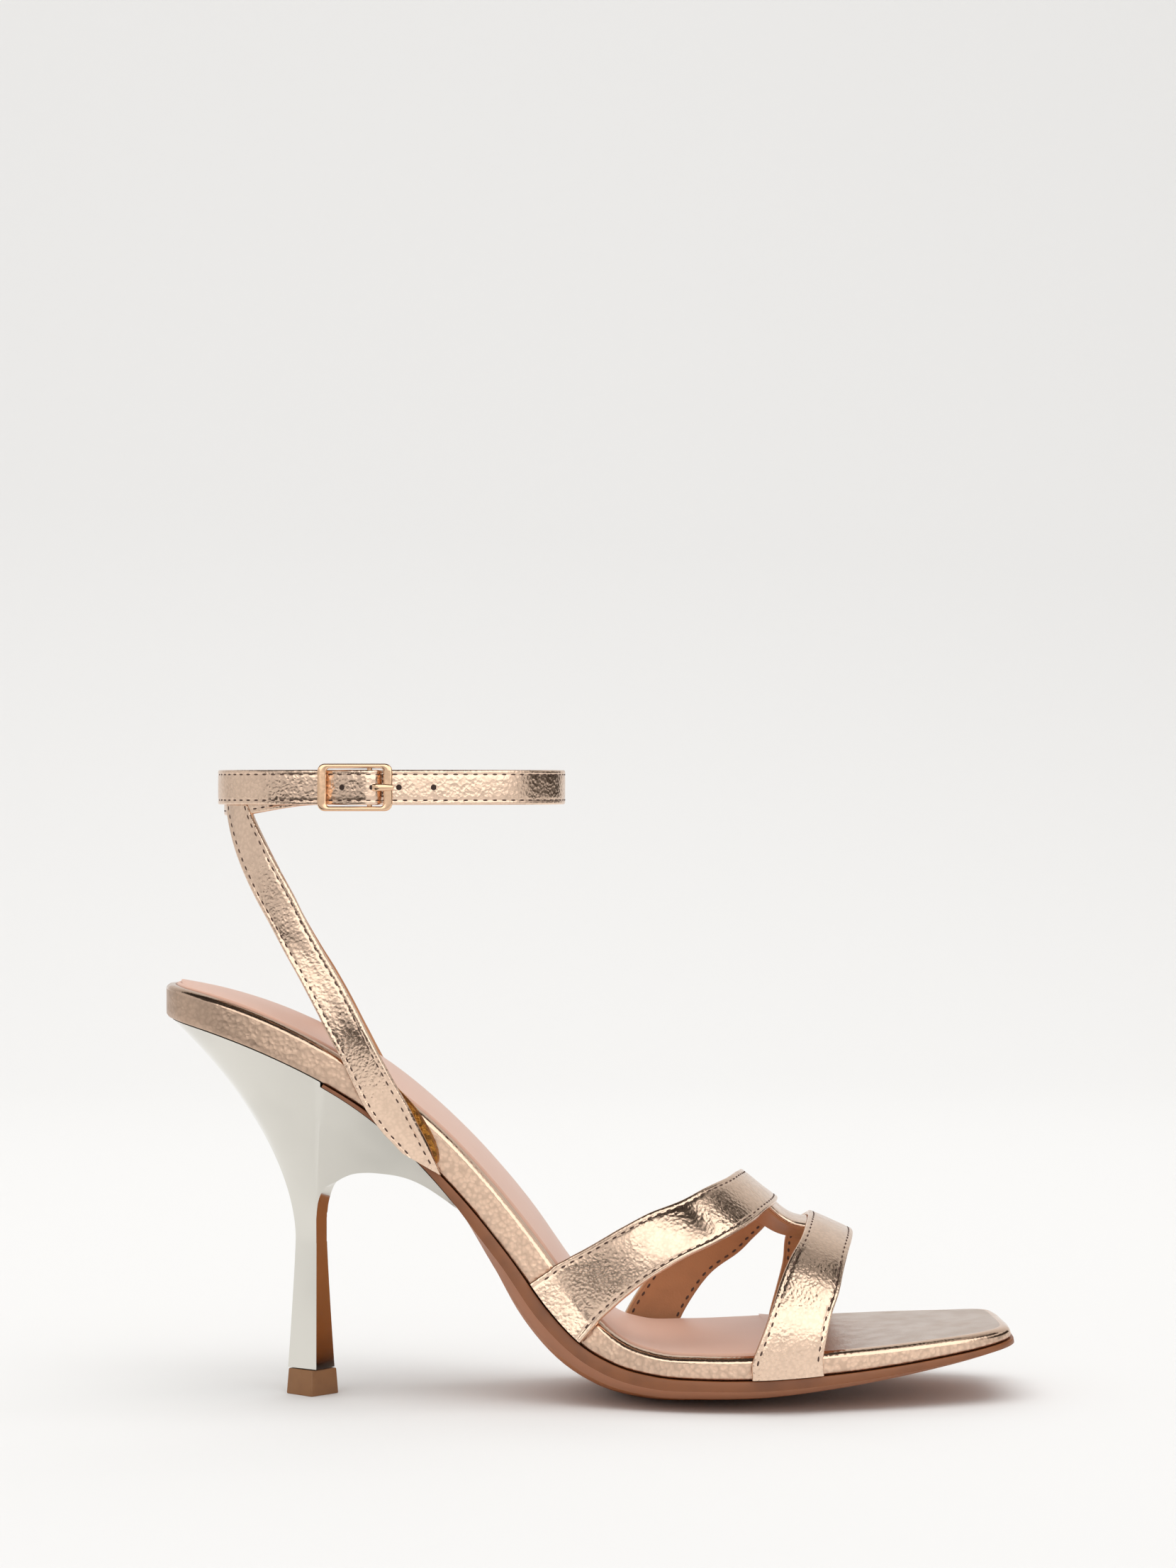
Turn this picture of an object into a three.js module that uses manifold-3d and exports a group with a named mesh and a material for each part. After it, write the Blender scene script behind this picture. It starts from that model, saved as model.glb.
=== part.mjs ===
// High-heeled ankle-strap sandal for the right foot, in millimetres.
// +X runs to the toe, +Y to the medial side and +Z up. The origin lies on the floor, under the heel tip.
import * as THREE from "three";
import { mergeVertices } from "three/addons/utils/BufferGeometryUtils.js";
import ManifoldModule from "manifold-3d";

const wasm = await ManifoldModule();
wasm.setup();

// Driving sizes of the last and the sole
const shoeLength = 216;
const seatOverhang = 37.2; // the seat's back end behind the heel tip's centre
const seatWidth = 53;
const waistWidth = 44;
const ballWidth = 73.5;
const toeWidth = 42;
const seatRise = 89; // the deck at the seat above the deck at the ball
const ballDeck = 8.5; // the deck at the ball above the floor
const toeSpring = 7.3;
const archBank = 4.6; // how far the medial edge rises at the arch
const wrapHeight = 8;
const wrapRim = 2.2; // plain gold rim between the footbed's edge and the sock
const rimDrop = 1.7; // how far the rounded rim falls at its outer edge
const soleEdge = 5.2;
const soleCrown = 3.7;
const soleMargin = 0.5; // the outsole stands this far out past the footbed
const soleStart = 41.2; // the outsole's rear end, from the back of the seat
const sockThickness = 1.2;
const sockCrown = 0.8;
const sockLength = 159;
const clearance = 0.3;
const planRows = 38;
const planColumns = 9;

// Driving sizes of the heel and its tip
const heelWaistHeight = 40;
const heelWaistLength = 8;
const heelWaistWidth = 7.2;
const heelBaseLength = 11.9;
const heelBaseWidth = 11.6;
const heelRidgeForward = 1.4; // the side corners lie this far ahead of the column's middle
const heelFlare = 1.8; // exponent of the flare: larger is more waisted
const heelInset = 0.8;
const heelWingShare = 0.352; // the heel's wing from the back of the seat, as a share of the shoe's length
const tipHeight = 6.5;
const tipLength = 13.5;
const tipWidth = 13.4;
const tipTaper = 0.92;

// Driving sizes of the upper
const strapThickness = 1.8;
const ballStrapStart = 97.5; // rear edge of the rear strap at the lateral rim, from the back of the seat
const instepHeight = 50;
const rimReach = 1.5; // the straps' arch starts this far under the rim's top
const archPower = 2.25;
const crestShift = 3;
const bridgeInset = 0.2;
const bridgeSag = 2.2; // how far the bridge sinks between the two bands
const slingThickness = 1.5;
const slingStandOff = 3;
const slingFootDrop = 2.2; // the sling reaches this far under the deck line
const medialSlingBack = 2.1; // the medial leg lies this far behind the lateral one
const ankleThickness = 1.3;
const ankleWidth = 8.8;
const ankleRise = 49.7; // middle of the ankle strap above the rim at the back of the seat
const ankleLength = 84.9; // inside the loop, front to back
const ankleBreadth = 52;
const ankleMiddle = 21.2; // middle of the loop ahead of the heel tip's centre
const ankleDip = 2.8; // how far the strap's inner layer hangs down to the sling
const anklePower = 2.3;

// Driving sizes of the buckle
const buckleLength = 18.8;
const buckleHeight = 11.9;
const buckleSideBar = 2.2;
const buckleRail = 1.2;
const buckleDepth = 1.6;
const buckleBehind = 9.5; // the buckle's middle behind the loop's middle
const pinRadius = 0.65;
const pinForward = 3.6; // the centre bar ahead of the buckle's middle
const prongWidth = 1.8;
const prongThickness = 0.9;

const backX = -seatOverhang;
const alongX = (share) => backX + share * shoeLength;

// Curves through a table of stations
function curveThrough(xs, ys) {
  const last = xs.length - 1;
  const gap = xs.slice(1).map((x, i) => x - xs[i]);
  const rate = gap.map((g, i) => (ys[i + 1] - ys[i]) / g);
  const slope = xs.map((x, i) => {
    if (i === 0) return rate[0];
    if (i === last) return rate[last - 1];
    return (rate[i - 1] * gap[i] + rate[i] * gap[i - 1]) / (gap[i - 1] + gap[i]);
  });
  return (x) => {
    if (x <= xs[0]) return ys[0] + (x - xs[0]) * slope[0];
    if (x >= xs[last]) return ys[last] + (x - xs[last]) * slope[last];
    let i = 0;
    while (x > xs[i + 1]) i += 1;
    const t = (x - xs[i]) / gap[i];
    const rise = ys[i] * (1 + 2 * t) * (1 - t) ** 2 + ys[i + 1] * t * t * (3 - 2 * t);
    return rise + gap[i] * (slope[i] * t * (1 - t) ** 2 - slope[i + 1] * t * t * (1 - t));
  };
}

function smoothStep(from, to, x) {
  const t = Math.min(Math.max((x - from) / (to - from), 0), 1);
  return t * t * (3 - 2 * t);
}

// The last's bottom, as shares: rise of seatRise, spring of toeSpring, wrap of wrapHeight,
// sole of soleEdge, bevel of the edge's own height, crown of soleCrown and bank of archBank
const lastRows = [
  { along: 0.000, rise: 1.000, spring: 0.00, wrap: 1.07, sole: 0.20, bevel: 0.00, crown: 0.00, bank: 0.00 },
  { along: 0.061, rise: 0.958, spring: 0.00, wrap: 1.10, sole: 0.20, bevel: 0.00, crown: 0.00, bank: 0.06 },
  { along: 0.126, rise: 0.897, spring: 0.00, wrap: 1.07, sole: 0.20, bevel: 0.00, crown: 0.00, bank: 0.22 },
  { along: 0.191, rise: 0.818, spring: 0.00, wrap: 1.01, sole: 0.15, bevel: 0.00, crown: 0.00, bank: 0.40 },
  { along: 0.246, rise: 0.731, spring: 0.00, wrap: 1.01, sole: 0.20, bevel: 0.00, crown: 0.00, bank: 0.53 },
  { along: 0.302, rise: 0.615, spring: 0.00, wrap: 1.02, sole: 0.30, bevel: 0.00, crown: 0.00, bank: 0.62 },
  { along: 0.353, rise: 0.484, spring: 0.00, wrap: 1.00, sole: 0.48, bevel: 0.06, crown: 0.00, bank: 0.85 },
  { along: 0.404, rise: 0.329, spring: 0.00, wrap: 1.00, sole: 0.93, bevel: 0.42, crown: 0.25, bank: 1.00 },
  { along: 0.450, rise: 0.175, spring: 0.00, wrap: 1.02, sole: 1.15, bevel: 0.48, crown: 0.55, bank: 0.80 },
  { along: 0.487, rise: 0.084, spring: 0.00, wrap: 0.95, sole: 1.12, bevel: 0.50, crown: 0.80, bank: 0.50 },
  { along: 0.524, rise: 0.034, spring: 0.00, wrap: 0.79, sole: 1.10, bevel: 0.48, crown: 0.95, bank: 0.22 },
  { along: 0.570, rise: 0.007, spring: 0.00, wrap: 0.70, sole: 1.04, bevel: 0.46, crown: 1.03, bank: 0.05 },
  { along: 0.626, rise: 0.000, spring: 0.00, wrap: 0.71, sole: 0.94, bevel: 0.48, crown: 1.03, bank: 0.00 },
  { along: 0.691, rise: 0.000, spring: 0.01, wrap: 0.72, sole: 0.90, bevel: 0.46, crown: 1.03, bank: 0.00 },
  { along: 0.760, rise: 0.000, spring: 0.12, wrap: 0.71, sole: 0.80, bevel: 0.44, crown: 0.95, bank: 0.00 },
  { along: 0.830, rise: 0.000, spring: 0.29, wrap: 0.65, sole: 0.66, bevel: 0.42, crown: 0.75, bank: 0.00 },
  { along: 0.899, rise: 0.000, spring: 0.53, wrap: 0.56, sole: 0.54, bevel: 0.40, crown: 0.50, bank: 0.00 },
  { along: 0.955, rise: 0.000, spring: 0.77, wrap: 0.46, sole: 0.44, bevel: 0.38, crown: 0.30, bank: 0.00 },
  { along: 1.000, rise: 0.000, spring: 1.00, wrap: 0.38, sole: 0.40, bevel: 0.36, crown: 0.20, bank: 0.00 },
];
const lastX = lastRows.map((row) => alongX(row.along));
const lastCurve = (height) => curveThrough(lastX, lastRows.map(height));
const deckZ = lastCurve((row) => ballDeck + row.rise * seatRise + row.spring * toeSpring);
const wrapAt = lastCurve((row) => row.wrap * wrapHeight);
const soleAt = lastCurve((row) => row.sole * soleEdge);
const bevelAt = lastCurve((row) => row.bevel);
const crownRise = lastCurve((row) => row.crown * soleCrown);
const crownAt = (x) => Math.max(crownRise(x), 0);
const bankRise = lastCurve((row) => row.bank * archBank);

// The outline from above: each side as a share of the width that it follows
const outlineRows = [
  { along: 0.000, width: seatWidth, lateral: 0.060, medial: 0.060 },
  { along: 0.005, width: seatWidth, lateral: 0.170, medial: 0.170 },
  { along: 0.020, width: seatWidth, lateral: 0.287, medial: 0.280 },
  { along: 0.052, width: seatWidth, lateral: 0.392, medial: 0.380 },
  { along: 0.107, width: seatWidth, lateral: 0.472, medial: 0.455 },
  { along: 0.172, width: seatWidth, lateral: 0.504, medial: 0.483 },
  { along: 0.228, width: seatWidth, lateral: 0.496, medial: 0.463 },
  { along: 0.302, width: waistWidth, lateral: 0.555, medial: 0.485 },
  { along: 0.381, width: waistWidth, lateral: 0.527, medial: 0.432 },
  { along: 0.441, width: waistWidth, lateral: 0.552, medial: 0.468 },
  { along: 0.496, width: ballWidth, lateral: 0.384, medial: 0.331 },
  { along: 0.552, width: ballWidth, lateral: 0.454, medial: 0.388 },
  { along: 0.607, width: ballWidth, lateral: 0.512, medial: 0.427 },
  { along: 0.663, width: ballWidth, lateral: 0.535, medial: 0.452 },
  { along: 0.719, width: ballWidth, lateral: 0.535, medial: 0.463 },
  { along: 0.783, width: ballWidth, lateral: 0.506, medial: 0.452 },
  { along: 0.848, width: ballWidth, lateral: 0.460, medial: 0.426 },
  { along: 0.904, width: ballWidth, lateral: 0.408, medial: 0.376 },
  { along: 0.950, width: toeWidth, lateral: 0.626, medial: 0.560 },
  { along: 0.981, width: toeWidth, lateral: 0.524, medial: 0.476 },
  { along: 0.996, width: toeWidth, lateral: 0.405, medial: 0.369 },
  { along: 1.000, width: toeWidth, lateral: 0.210, medial: 0.190 },
];
function outlineSide(side) {
  const points = outlineRows.map((row) => {
    const share = side < 0 ? row.lateral : row.medial;
    return new THREE.Vector3(alongX(row.along), side * share * row.width, 0);
  });
  return new THREE.CatmullRomCurve3(points, false, "centripetal");
}
const lateralOutline = outlineSide(-1);
const medialOutline = outlineSide(1);

// How far each side of the outline reaches at a station
function sideReach(curve) {
  const samples = curve.getSpacedPoints(140);
  return curveThrough(samples.map((point) => point.x), samples.map((point) => Math.abs(point.y)));
}
const lateralAt = sideReach(lateralOutline);
const medialAt = sideReach(medialOutline);
const reachAt = (x, side) => (side < 0 ? lateralAt(x) : medialAt(x));

// How far a surface reaches sideways when it stands off the outline by a distance
function reachBeyond(x, side, distance) {
  const slope = reachAt(x + 1, side) - reachAt(x - 1, side);
  return reachAt(x, side) + distance * Math.hypot(1, slope / 2);
}

// The share of a side's outline at which it reaches a station
function shareAtStation(curve, x) {
  let low = 0;
  let high = 1;
  for (let step = 0; step < 30; step += 1) {
    const middle = (low + high) / 2;
    if (curve.getPointAt(middle).x < x) low = middle;
    else high = middle;
  }
  return (low + high) / 2;
}

// A height above the deck line at a station leans with the deck, upright only at the back of the seat
function leanAt(x) {
  const reach = 0.5;
  const slope = (deckZ(x + reach) - deckZ(x - reach)) / (2 * reach);
  return -Math.atan(slope) * smoothStep(alongX(0), alongX(0.15), x);
}

function bankAt(x, y) {
  const across = (y + lateralAt(x)) / (lateralAt(x) + medialAt(x));
  return bankRise(x) * Math.min(Math.max(across, 0), 1);
}

function place(x, y, height) {
  const lean = leanAt(x);
  const z = deckZ(x) + bankAt(x, y) + height * Math.cos(lean);
  return new THREE.Vector3(x + height * Math.sin(lean), y, z);
}

// A solid in the making: shared corners and the triangles between them
class Shell {
  constructor() {
    this.corners = [];
    this.faces = [];
  }

  add(point) {
    this.corners.push(point);
    return this.corners.length - 1;
  }

  quad(a, b, c, d) {
    this.faces.push([a, b, c], [a, c, d]);
  }

  geometry() {
    const volume = this.faces.reduce((sum, [a, b, c]) => {
      const cross = new THREE.Vector3().crossVectors(this.corners[b], this.corners[c]);
      return sum + this.corners[a].dot(cross);
    }, 0);
    const faces = volume < 0 ? this.faces.map(([a, b, c]) => [a, c, b]) : this.faces;
    const geometry = new THREE.BufferGeometry();
    const numbers = this.corners.flatMap((corner) => corner.toArray());
    geometry.setAttribute("position", new THREE.Float32BufferAttribute(numbers, 3));
    geometry.setIndex(faces.flat());
    return geometry;
  }
}

// The corner indices round the edge of a grid, in order
function gridLoop(rows, columns) {
  const loop = [];
  for (let i = 0; i < rows; i += 1) loop.push([i, 0]);
  for (let j = 1; j < columns; j += 1) loop.push([rows - 1, j]);
  for (let i = rows - 2; i >= 0; i -= 1) loop.push([i, columns - 1]);
  for (let j = columns - 2; j > 0; j -= 1) loop.push([0, j]);
  return loop;
}

function addGrid(shell, grid) {
  const index = grid.map((row) => row.map((point) => shell.add(point)));
  for (let i = 1; i < grid.length; i += 1) {
    for (let j = 1; j < grid[0].length; j += 1) {
      shell.quad(index[i - 1][j - 1], index[i][j - 1], index[i][j], index[i - 1][j]);
    }
  }
  return gridLoop(grid.length, grid[0].length).map(([i, j]) => index[i][j]);
}

function stitch(shell, lower, upper) {
  lower.forEach((corner, k) => {
    const next = (k + 1) % lower.length;
    shell.quad(corner, upper[k], upper[next], lower[next]);
  });
}

// A closed solid between two grids, with rings of its edge between them
function gridSolid(bottom, rings, top) {
  const shell = new Shell();
  let loop = addGrid(shell, bottom);
  for (const ring of rings) {
    const next = ring.map((point) => shell.add(point));
    stitch(shell, loop, next);
    loop = next;
  }
  const upper = new Shell();
  const upperLoop = addGrid(upper, top);
  const offset = shell.corners.length;
  shell.corners.push(...upper.corners);
  upper.faces.forEach(([a, b, c]) => shell.faces.push([a + offset, c + offset, b + offset]));
  stitch(shell, loop, upperLoop.map((corner) => corner + offset));
  return shell.geometry();
}

// Shares of the outline at which every layer of the sole has a row, closer together at both ends
const planShares = Array.from({ length: planRows }, (unused, i) => {
  const even = i / (planRows - 1);
  return even - 0.09 * Math.sin(2 * Math.PI * even);
});

// The plan of a layer of the sole, inset from the last's outline, as a grid of stations by columns
function planGrid(fromX, toX, inset) {
  const sides = [lateralOutline, medialOutline].map((curve) => {
    const start = fromX === null ? 0 : shareAtStation(curve, fromX);
    const end = toX === null ? 1 : shareAtStation(curve, toX);
    const shares = planShares.map((share) => Math.min(Math.max(share, start), end));
    return shares.map((share) => curve.getPointAt(share));
  });
  const used = sides[0].map((point, i) => i).filter((i) => {
    const next = sides[0][Math.min(i + 1, planRows - 1)];
    const before = sides[0][Math.max(i - 1, 0)];
    const first = fromX !== null && next.x - sides[0][i].x < 1e-6;
    const last = toX !== null && sides[0][i].x - before.x < 1e-6;
    return !first && !last;
  });
  const rows = used.length;
  const blank = used.map((i) => Array.from({ length: planColumns }, (unused, j) => {
    return sides[0][i].clone().lerp(sides[1][i], j / (planColumns - 1));
  }));
  const loop = gridLoop(rows, planColumns);
  const edge = loop.map(([i, j]) => blank[i][j]);
  const moved = edge.map((point, k) => {
    const before = edge[(k + edge.length - 1) % edge.length];
    const after = edge[(k + 1) % edge.length];
    const along = after.clone().sub(before).normalize();
    return new THREE.Vector3(point.x - along.y * inset, point.y + along.x * inset, 0);
  });
  loop.forEach(([i, j], k) => blank[i][j].copy(moved[k]));
  for (let i = 1; i < rows - 1; i += 1) {
    for (let j = 1; j < planColumns - 1; j += 1) {
      blank[i][j].lerpVectors(blank[i][0], blank[i][planColumns - 1], j / (planColumns - 1));
    }
  }
  return blank;
}

// How far a grid's column lies in from the edge: 0 at the sides, 1 in the middle
function inward(j) {
  const across = Math.min(j, planColumns - 1 - j) / ((planColumns - 1) / 2);
  return Math.sin((Math.PI / 2) * across);
}

const shapeGrid = (grid, height) =>
  grid.map((row, i) => row.map((point, j) => place(point.x, point.y, height(point, i, j))));
const edgeRing = (grid, height) =>
  gridLoop(grid.length, grid[0].length).map(([i, j]) => place(grid[i][j].x, grid[i][j].y, height(grid[i][j])));

// Outsole: an upright edge, a bevel under it and a crowned bottom, flat where it meets the floor
const soleStartX = backX + soleStart;
const bevelInset = 3.4;

function underside(x, insetShare) {
  return -clearance - soleAt(x) - crownAt(x) * insetShare;
}

function buildOutsole() {
  const outer = planGrid(soleStartX, null, -soleMargin);
  const inner = planGrid(soleStartX, null, bevelInset);
  const toFloor = (point) => {
    point.z = Math.max(point.z, 0);
    return point;
  };
  const bottom = shapeGrid(inner, (point, i, j) => {
    return underside(point.x, inward(j));
  }).map((row) => row.map(toFloor));
  const bandBottom = (point) => -clearance - soleAt(point.x) * (1 - bevelAt(point.x));
  const rings = [edgeRing(outer, bandBottom)];
  const top = shapeGrid(outer, () => -clearance);
  return gridSolid(bottom, rings, top);
}

// Footbed: covered board with a rounded rim and a recess that the sock lies in
const sockEndX = backX + sockLength;
const sockSeat = 0.9; // depth of the recess under the rim's top

function buildFootbed() {
  const grid = (inset) => planGrid(null, null, inset);
  const rimSteps = [
    { inset: 0.0, drop: 1.0 },
    { inset: 0.22, drop: 0.42 },
    { inset: 0.55, drop: 0.1 },
    { inset: 1.0, drop: 0.0 },
  ];
  const bottom = shapeGrid(grid(0.6), () => 0);
  const rings = [edgeRing(grid(0), () => rimDrop * 0.4)];
  for (const step of rimSteps) {
    rings.push(edgeRing(grid(step.inset * wrapRim), (point) => wrapAt(point.x) - step.drop * rimDrop));
  }
  const top = shapeGrid(grid(wrapRim + 0.4), (point) => wrapAt(point.x));
  return gridSolid(bottom, rings, top);
}

// Sock: a thin padded insole on the footbed, domed along its middle
function buildSock() {
  const grid = (inset) => planGrid(null, sockEndX, inset);
  const rest = (point) => wrapAt(point.x) - sockSeat + clearance;
  const outer = grid(wrapRim + clearance);
  const inner = grid(wrapRim + clearance + 0.8);
  const bottom = shapeGrid(outer, rest);
  const rings = [edgeRing(outer, (point) => rest(point) + sockThickness * 0.55)];
  const top = shapeGrid(inner, (point, i, j) => {
    return rest(point) + sockThickness + sockCrown * inward(j);
  });
  return gridSolid(bottom, rings, top);
}

// Booleans between closed solids
function toManifold(geometry) {
  const merged = mergeVertices(geometry, 1e-5);
  const mesh = new wasm.Mesh({
    numProp: 3,
    vertProperties: new Float32Array(merged.getAttribute("position").array),
    triVerts: new Uint32Array(merged.getIndex().array),
  });
  return new wasm.Manifold(mesh);
}

function fromManifold(solid) {
  const mesh = solid.getMesh();
  const geometry = new THREE.BufferGeometry();
  geometry.setAttribute("position", new THREE.BufferAttribute(mesh.vertProperties, 3));
  geometry.setIndex(new THREE.BufferAttribute(mesh.triVerts, 1));
  return geometry;
}

function positionOnly(geometry) {
  const bare = geometry.clone();
  bare.deleteAttribute("normal");
  bare.deleteAttribute("uv");
  return bare;
}

// The recess in the footbed: everything over the sock's outline
function recessTool() {
  const grid = planGrid(null, sockEndX + clearance, wrapRim);
  const bottom = shapeGrid(grid, (point) => wrapAt(point.x) - sockSeat);
  const top = shapeGrid(grid, (point) => wrapAt(point.x) + sockThickness);
  return gridSolid(bottom, [], top);
}

// Heel: a square column turned on its corner, flaring into a wide seat with a long wing under the arch
const heelBaseZ = tipHeight + clearance;
const columnMiddle = heelRidgeForward / 2 - 1;
const wingEndX = alongX(heelWingShare);
const quarter = 11;
const roofZ = deckZ(backX) + wrapHeight; // clear of everything that the heel is cut from

// The column's corners in order: back, lateral, front, medial
function columnPoint(k, z) {
  const climb = Math.min(Math.max((heelWaistHeight - z) / (heelWaistHeight - heelBaseZ), 0), 1) ** 1.2;
  const halfLength = (heelWaistLength + (heelBaseLength - heelWaistLength) * climb) / 2;
  const halfWidth = (heelWaistWidth + (heelBaseWidth - heelWaistWidth) * climb) / 2;
  const corners = [
    new THREE.Vector2(columnMiddle - halfLength, 0),
    new THREE.Vector2(columnMiddle + heelRidgeForward, -halfWidth),
    new THREE.Vector2(columnMiddle + halfLength, 0),
    new THREE.Vector2(columnMiddle + heelRidgeForward, halfWidth),
  ];
  const side = Math.floor(k / quarter) % 4;
  return corners[side].clone().lerp(corners[(side + 1) % 4], (k % quarter) / quarter);
}

// The heel's outline under the seat, with the wing drawn to a rounded nose: along as a share of the
// wing's length and reach as a share of the sole's own reach there
const wingNose = [
  { along: 0.90, reach: 0.975 },
  { along: 0.965, reach: 0.90 },
  { along: 0.995, reach: 0.56 },
  { along: 1.0, reach: 0.0 },
];

function heelOutline(side) {
  const curve = side < 0 ? lateralOutline : medialOutline;
  const points = [new THREE.Vector3(backX + heelInset, 0, 0)];
  const stations = [0.005, 0.02, 0.052, 0.107, 0.172, 0.228, 0.28];
  for (const along of stations) {
    const point = curve.getPointAt(shareAtStation(curve, alongX(along)));
    const toMiddle = Math.hypot(point.x - columnMiddle, point.y);
    point.x -= (heelInset * (point.x - columnMiddle)) / toMiddle;
    point.y -= (heelInset * point.y) / toMiddle;
    points.push(point);
  }
  for (const row of wingNose) {
    const x = backX + row.along * (wingEndX - backX);
    points.push(new THREE.Vector3(x, side * row.reach * reachAt(x, side), 0));
  }
  return new THREE.CatmullRomCurve3(points, false, "centripetal");
}

function buildHeelWall() {
  const outlines = [heelOutline(-1), heelOutline(1)];
  const sideShare = shareAtStation(outlines[0], columnMiddle + heelRidgeForward + 2);
  const around = 4 * quarter;
  const noseStart = 0.7 * (underLine(wingEndX, 0) - heelWaistHeight);
  const rim = Array.from({ length: around }, (unused, k) => {
    const medial = k > 2 * quarter;
    const step = medial ? around - k : k;
    const rear = step / quarter;
    const share = rear <= 1 ? rear * sideShare : sideShare + (rear - 1) * (1 - sideShare);
    const point = outlines[medial ? 1 : 0].getPointAt(share);
    const z = underLine(point.x, point.y);
    const start = heelWaistHeight + noseStart * Math.max(rear - 1, 0);
    return { x: point.x, y: point.y, z, start };
  });
  const columnShares = [0, 0.3, 0.6, 0.85];
  const rings = columnShares.map((share) => rim.map((target, k) => {
    const z = heelBaseZ + share * (heelWaistHeight - heelBaseZ);
    const foot = columnPoint(k, z);
    return new THREE.Vector3(foot.x, foot.y, z);
  }));
  const flareSteps = 18;
  for (let step = 0; step <= flareSteps; step += 1) {
    const climb = step / flareSteps;
    const open = climb ** heelFlare;
    rings.push(rim.map((target, k) => {
      const z = target.start + (target.z - target.start) * climb;
      const foot = columnPoint(k, z);
      return new THREE.Vector3(foot.x + (target.x - foot.x) * open, foot.y + (target.y - foot.y) * open, z);
    }));
  }
  const topZ = deckZ(backX) + wrapHeight / 2;
  rings.push(rim.map((target) => new THREE.Vector3(target.x, target.y, topZ)));
  const shell = new Shell();
  let loop = rings[0].map((point) => shell.add(point));
  const floor = shell.add(new THREE.Vector3(columnMiddle, 0, heelBaseZ));
  loop.forEach((corner, k) => shell.faces.push([floor, loop[(k + 1) % around], corner]));
  for (const ring of rings.slice(1)) {
    const next = ring.map((point) => shell.add(point));
    stitch(shell, next, loop);
    loop = next;
  }
  const roof = shell.add(new THREE.Vector3(columnMiddle, 0, topZ));
  loop.forEach((corner, k) => shell.faces.push([roof, corner, loop[(k + 1) % around]]));
  return shell.geometry();
}

// The underside of the footbed or, from its rear end on, of the outsole
function underLine(x, y) {
  const depth = (station) => {
    return (soleAt(station) + clearance) * smoothStep(soleStartX - 1.8, soleStartX - 0.6, station);
  };
  let station = x;
  for (let step = 0; step < 10; step += 1) {
    station = x + depth(station) * Math.sin(leanAt(station));
  }
  return place(station, y, -depth(station)).z;
}

// Everything over a layer of the sole that starts at a station and is so deep under the deck
function seatTool(fromX, depthAt) {
  const spread = 3;
  const grid = planGrid(fromX === null ? null : fromX + spread, null, -spread);
  const bottom = shapeGrid(grid, (point) => -depthAt(point.x) - clearance);
  const top = bottom.map((row) => row.map((point) => new THREE.Vector3(point.x, point.y, roofZ)));
  return gridSolid(bottom, [], top);
}

// The breast: the arch cut into the heel ahead of the column. Forward is a share of the way to the wing's
// nose, up a share of the room between the waist and the sole, and corner how much of the column's front
// corner the face keeps
const breastRows = [
  { forward: 0.000, up: 0.120, corner: 1.0 },
  { forward: 0.013, up: 0.215, corner: 1.0 },
  { forward: 0.045, up: 0.315, corner: 0.8 },
  { forward: 0.097, up: 0.384, corner: 0.3 },
  { forward: 0.149, up: 0.437, corner: 0.1 },
  { forward: 0.203, up: 0.478, corner: 0.0 },
  { forward: 0.307, up: 0.530, corner: 0.0 },
  { forward: 0.410, up: 0.578, corner: 0.0 },
  { forward: 0.513, up: 0.633, corner: 0.0 },
  { forward: 0.616, up: 0.687, corner: 0.0 },
  { forward: 0.717, up: 0.731, corner: 0.0 },
  { forward: 0.820, up: 0.768, corner: 0.0 },
  { forward: 0.923, up: 0.815, corner: 0.0 },
  { forward: 1.040, up: 0.840, corner: 0.0 },
];

function breastTool() {
  const startX = columnMiddle + heelWaistLength / 2 + 0.1;
  const reachX = wingEndX - startX;
  const sideways = [-seatWidth, -heelWaistWidth / 2, 0, heelWaistWidth / 2, seatWidth];
  const cornerDepth = heelWaistLength / 2 - heelRidgeForward;
  const grid = (bottom) => breastRows.map((row) => sideways.map((y) => {
    const x = startX + row.forward * reachX - (y === 0 ? 0 : cornerDepth * row.corner);
    const clearOfColumn = row.corner < 0.2;
    const floor = clearOfColumn ? tipHeight : heelWaistHeight - 1;
    const z = heelWaistHeight + row.up * (underLine(x, y) - heelWaistHeight);
    return new THREE.Vector3(x, y, bottom ? floor : z);
  }));
  return gridSolid(grid(true), [], grid(false));
}

function buildHeel() {
  const wall = toManifold(buildHeelWall());
  const underFootbed = toManifold(seatTool(null, () => 0));
  const underTread = (x) => soleAt(x) + crownAt(x) + clearance;
  const underOutsole = toManifold(seatTool(soleStartX - soleMargin - clearance, underTread));
  const seated = wall.subtract(underFootbed).subtract(underOutsole);
  return fromManifold(seated.subtract(toManifold(breastTool())));
}

// Heel tip: a tapered square block turned on its corner
function buildHeelTip() {
  const shell = new Shell();
  const ring = (z, scale) => [
    [-tipLength / 2, 0],
    [0, -tipWidth / 2],
    [tipLength / 2, 0],
    [0, tipWidth / 2],
  ].map(([x, y]) => shell.add(new THREE.Vector3(x * scale, y * scale, z)));
  const lower = ring(0, 1);
  const upper = ring(tipHeight, tipTaper);
  stitch(shell, upper, lower);
  shell.quad(lower[0], lower[3], lower[2], lower[1]);
  shell.quad(upper[0], upper[1], upper[2], upper[3]);
  return shell.geometry();
}

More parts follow.
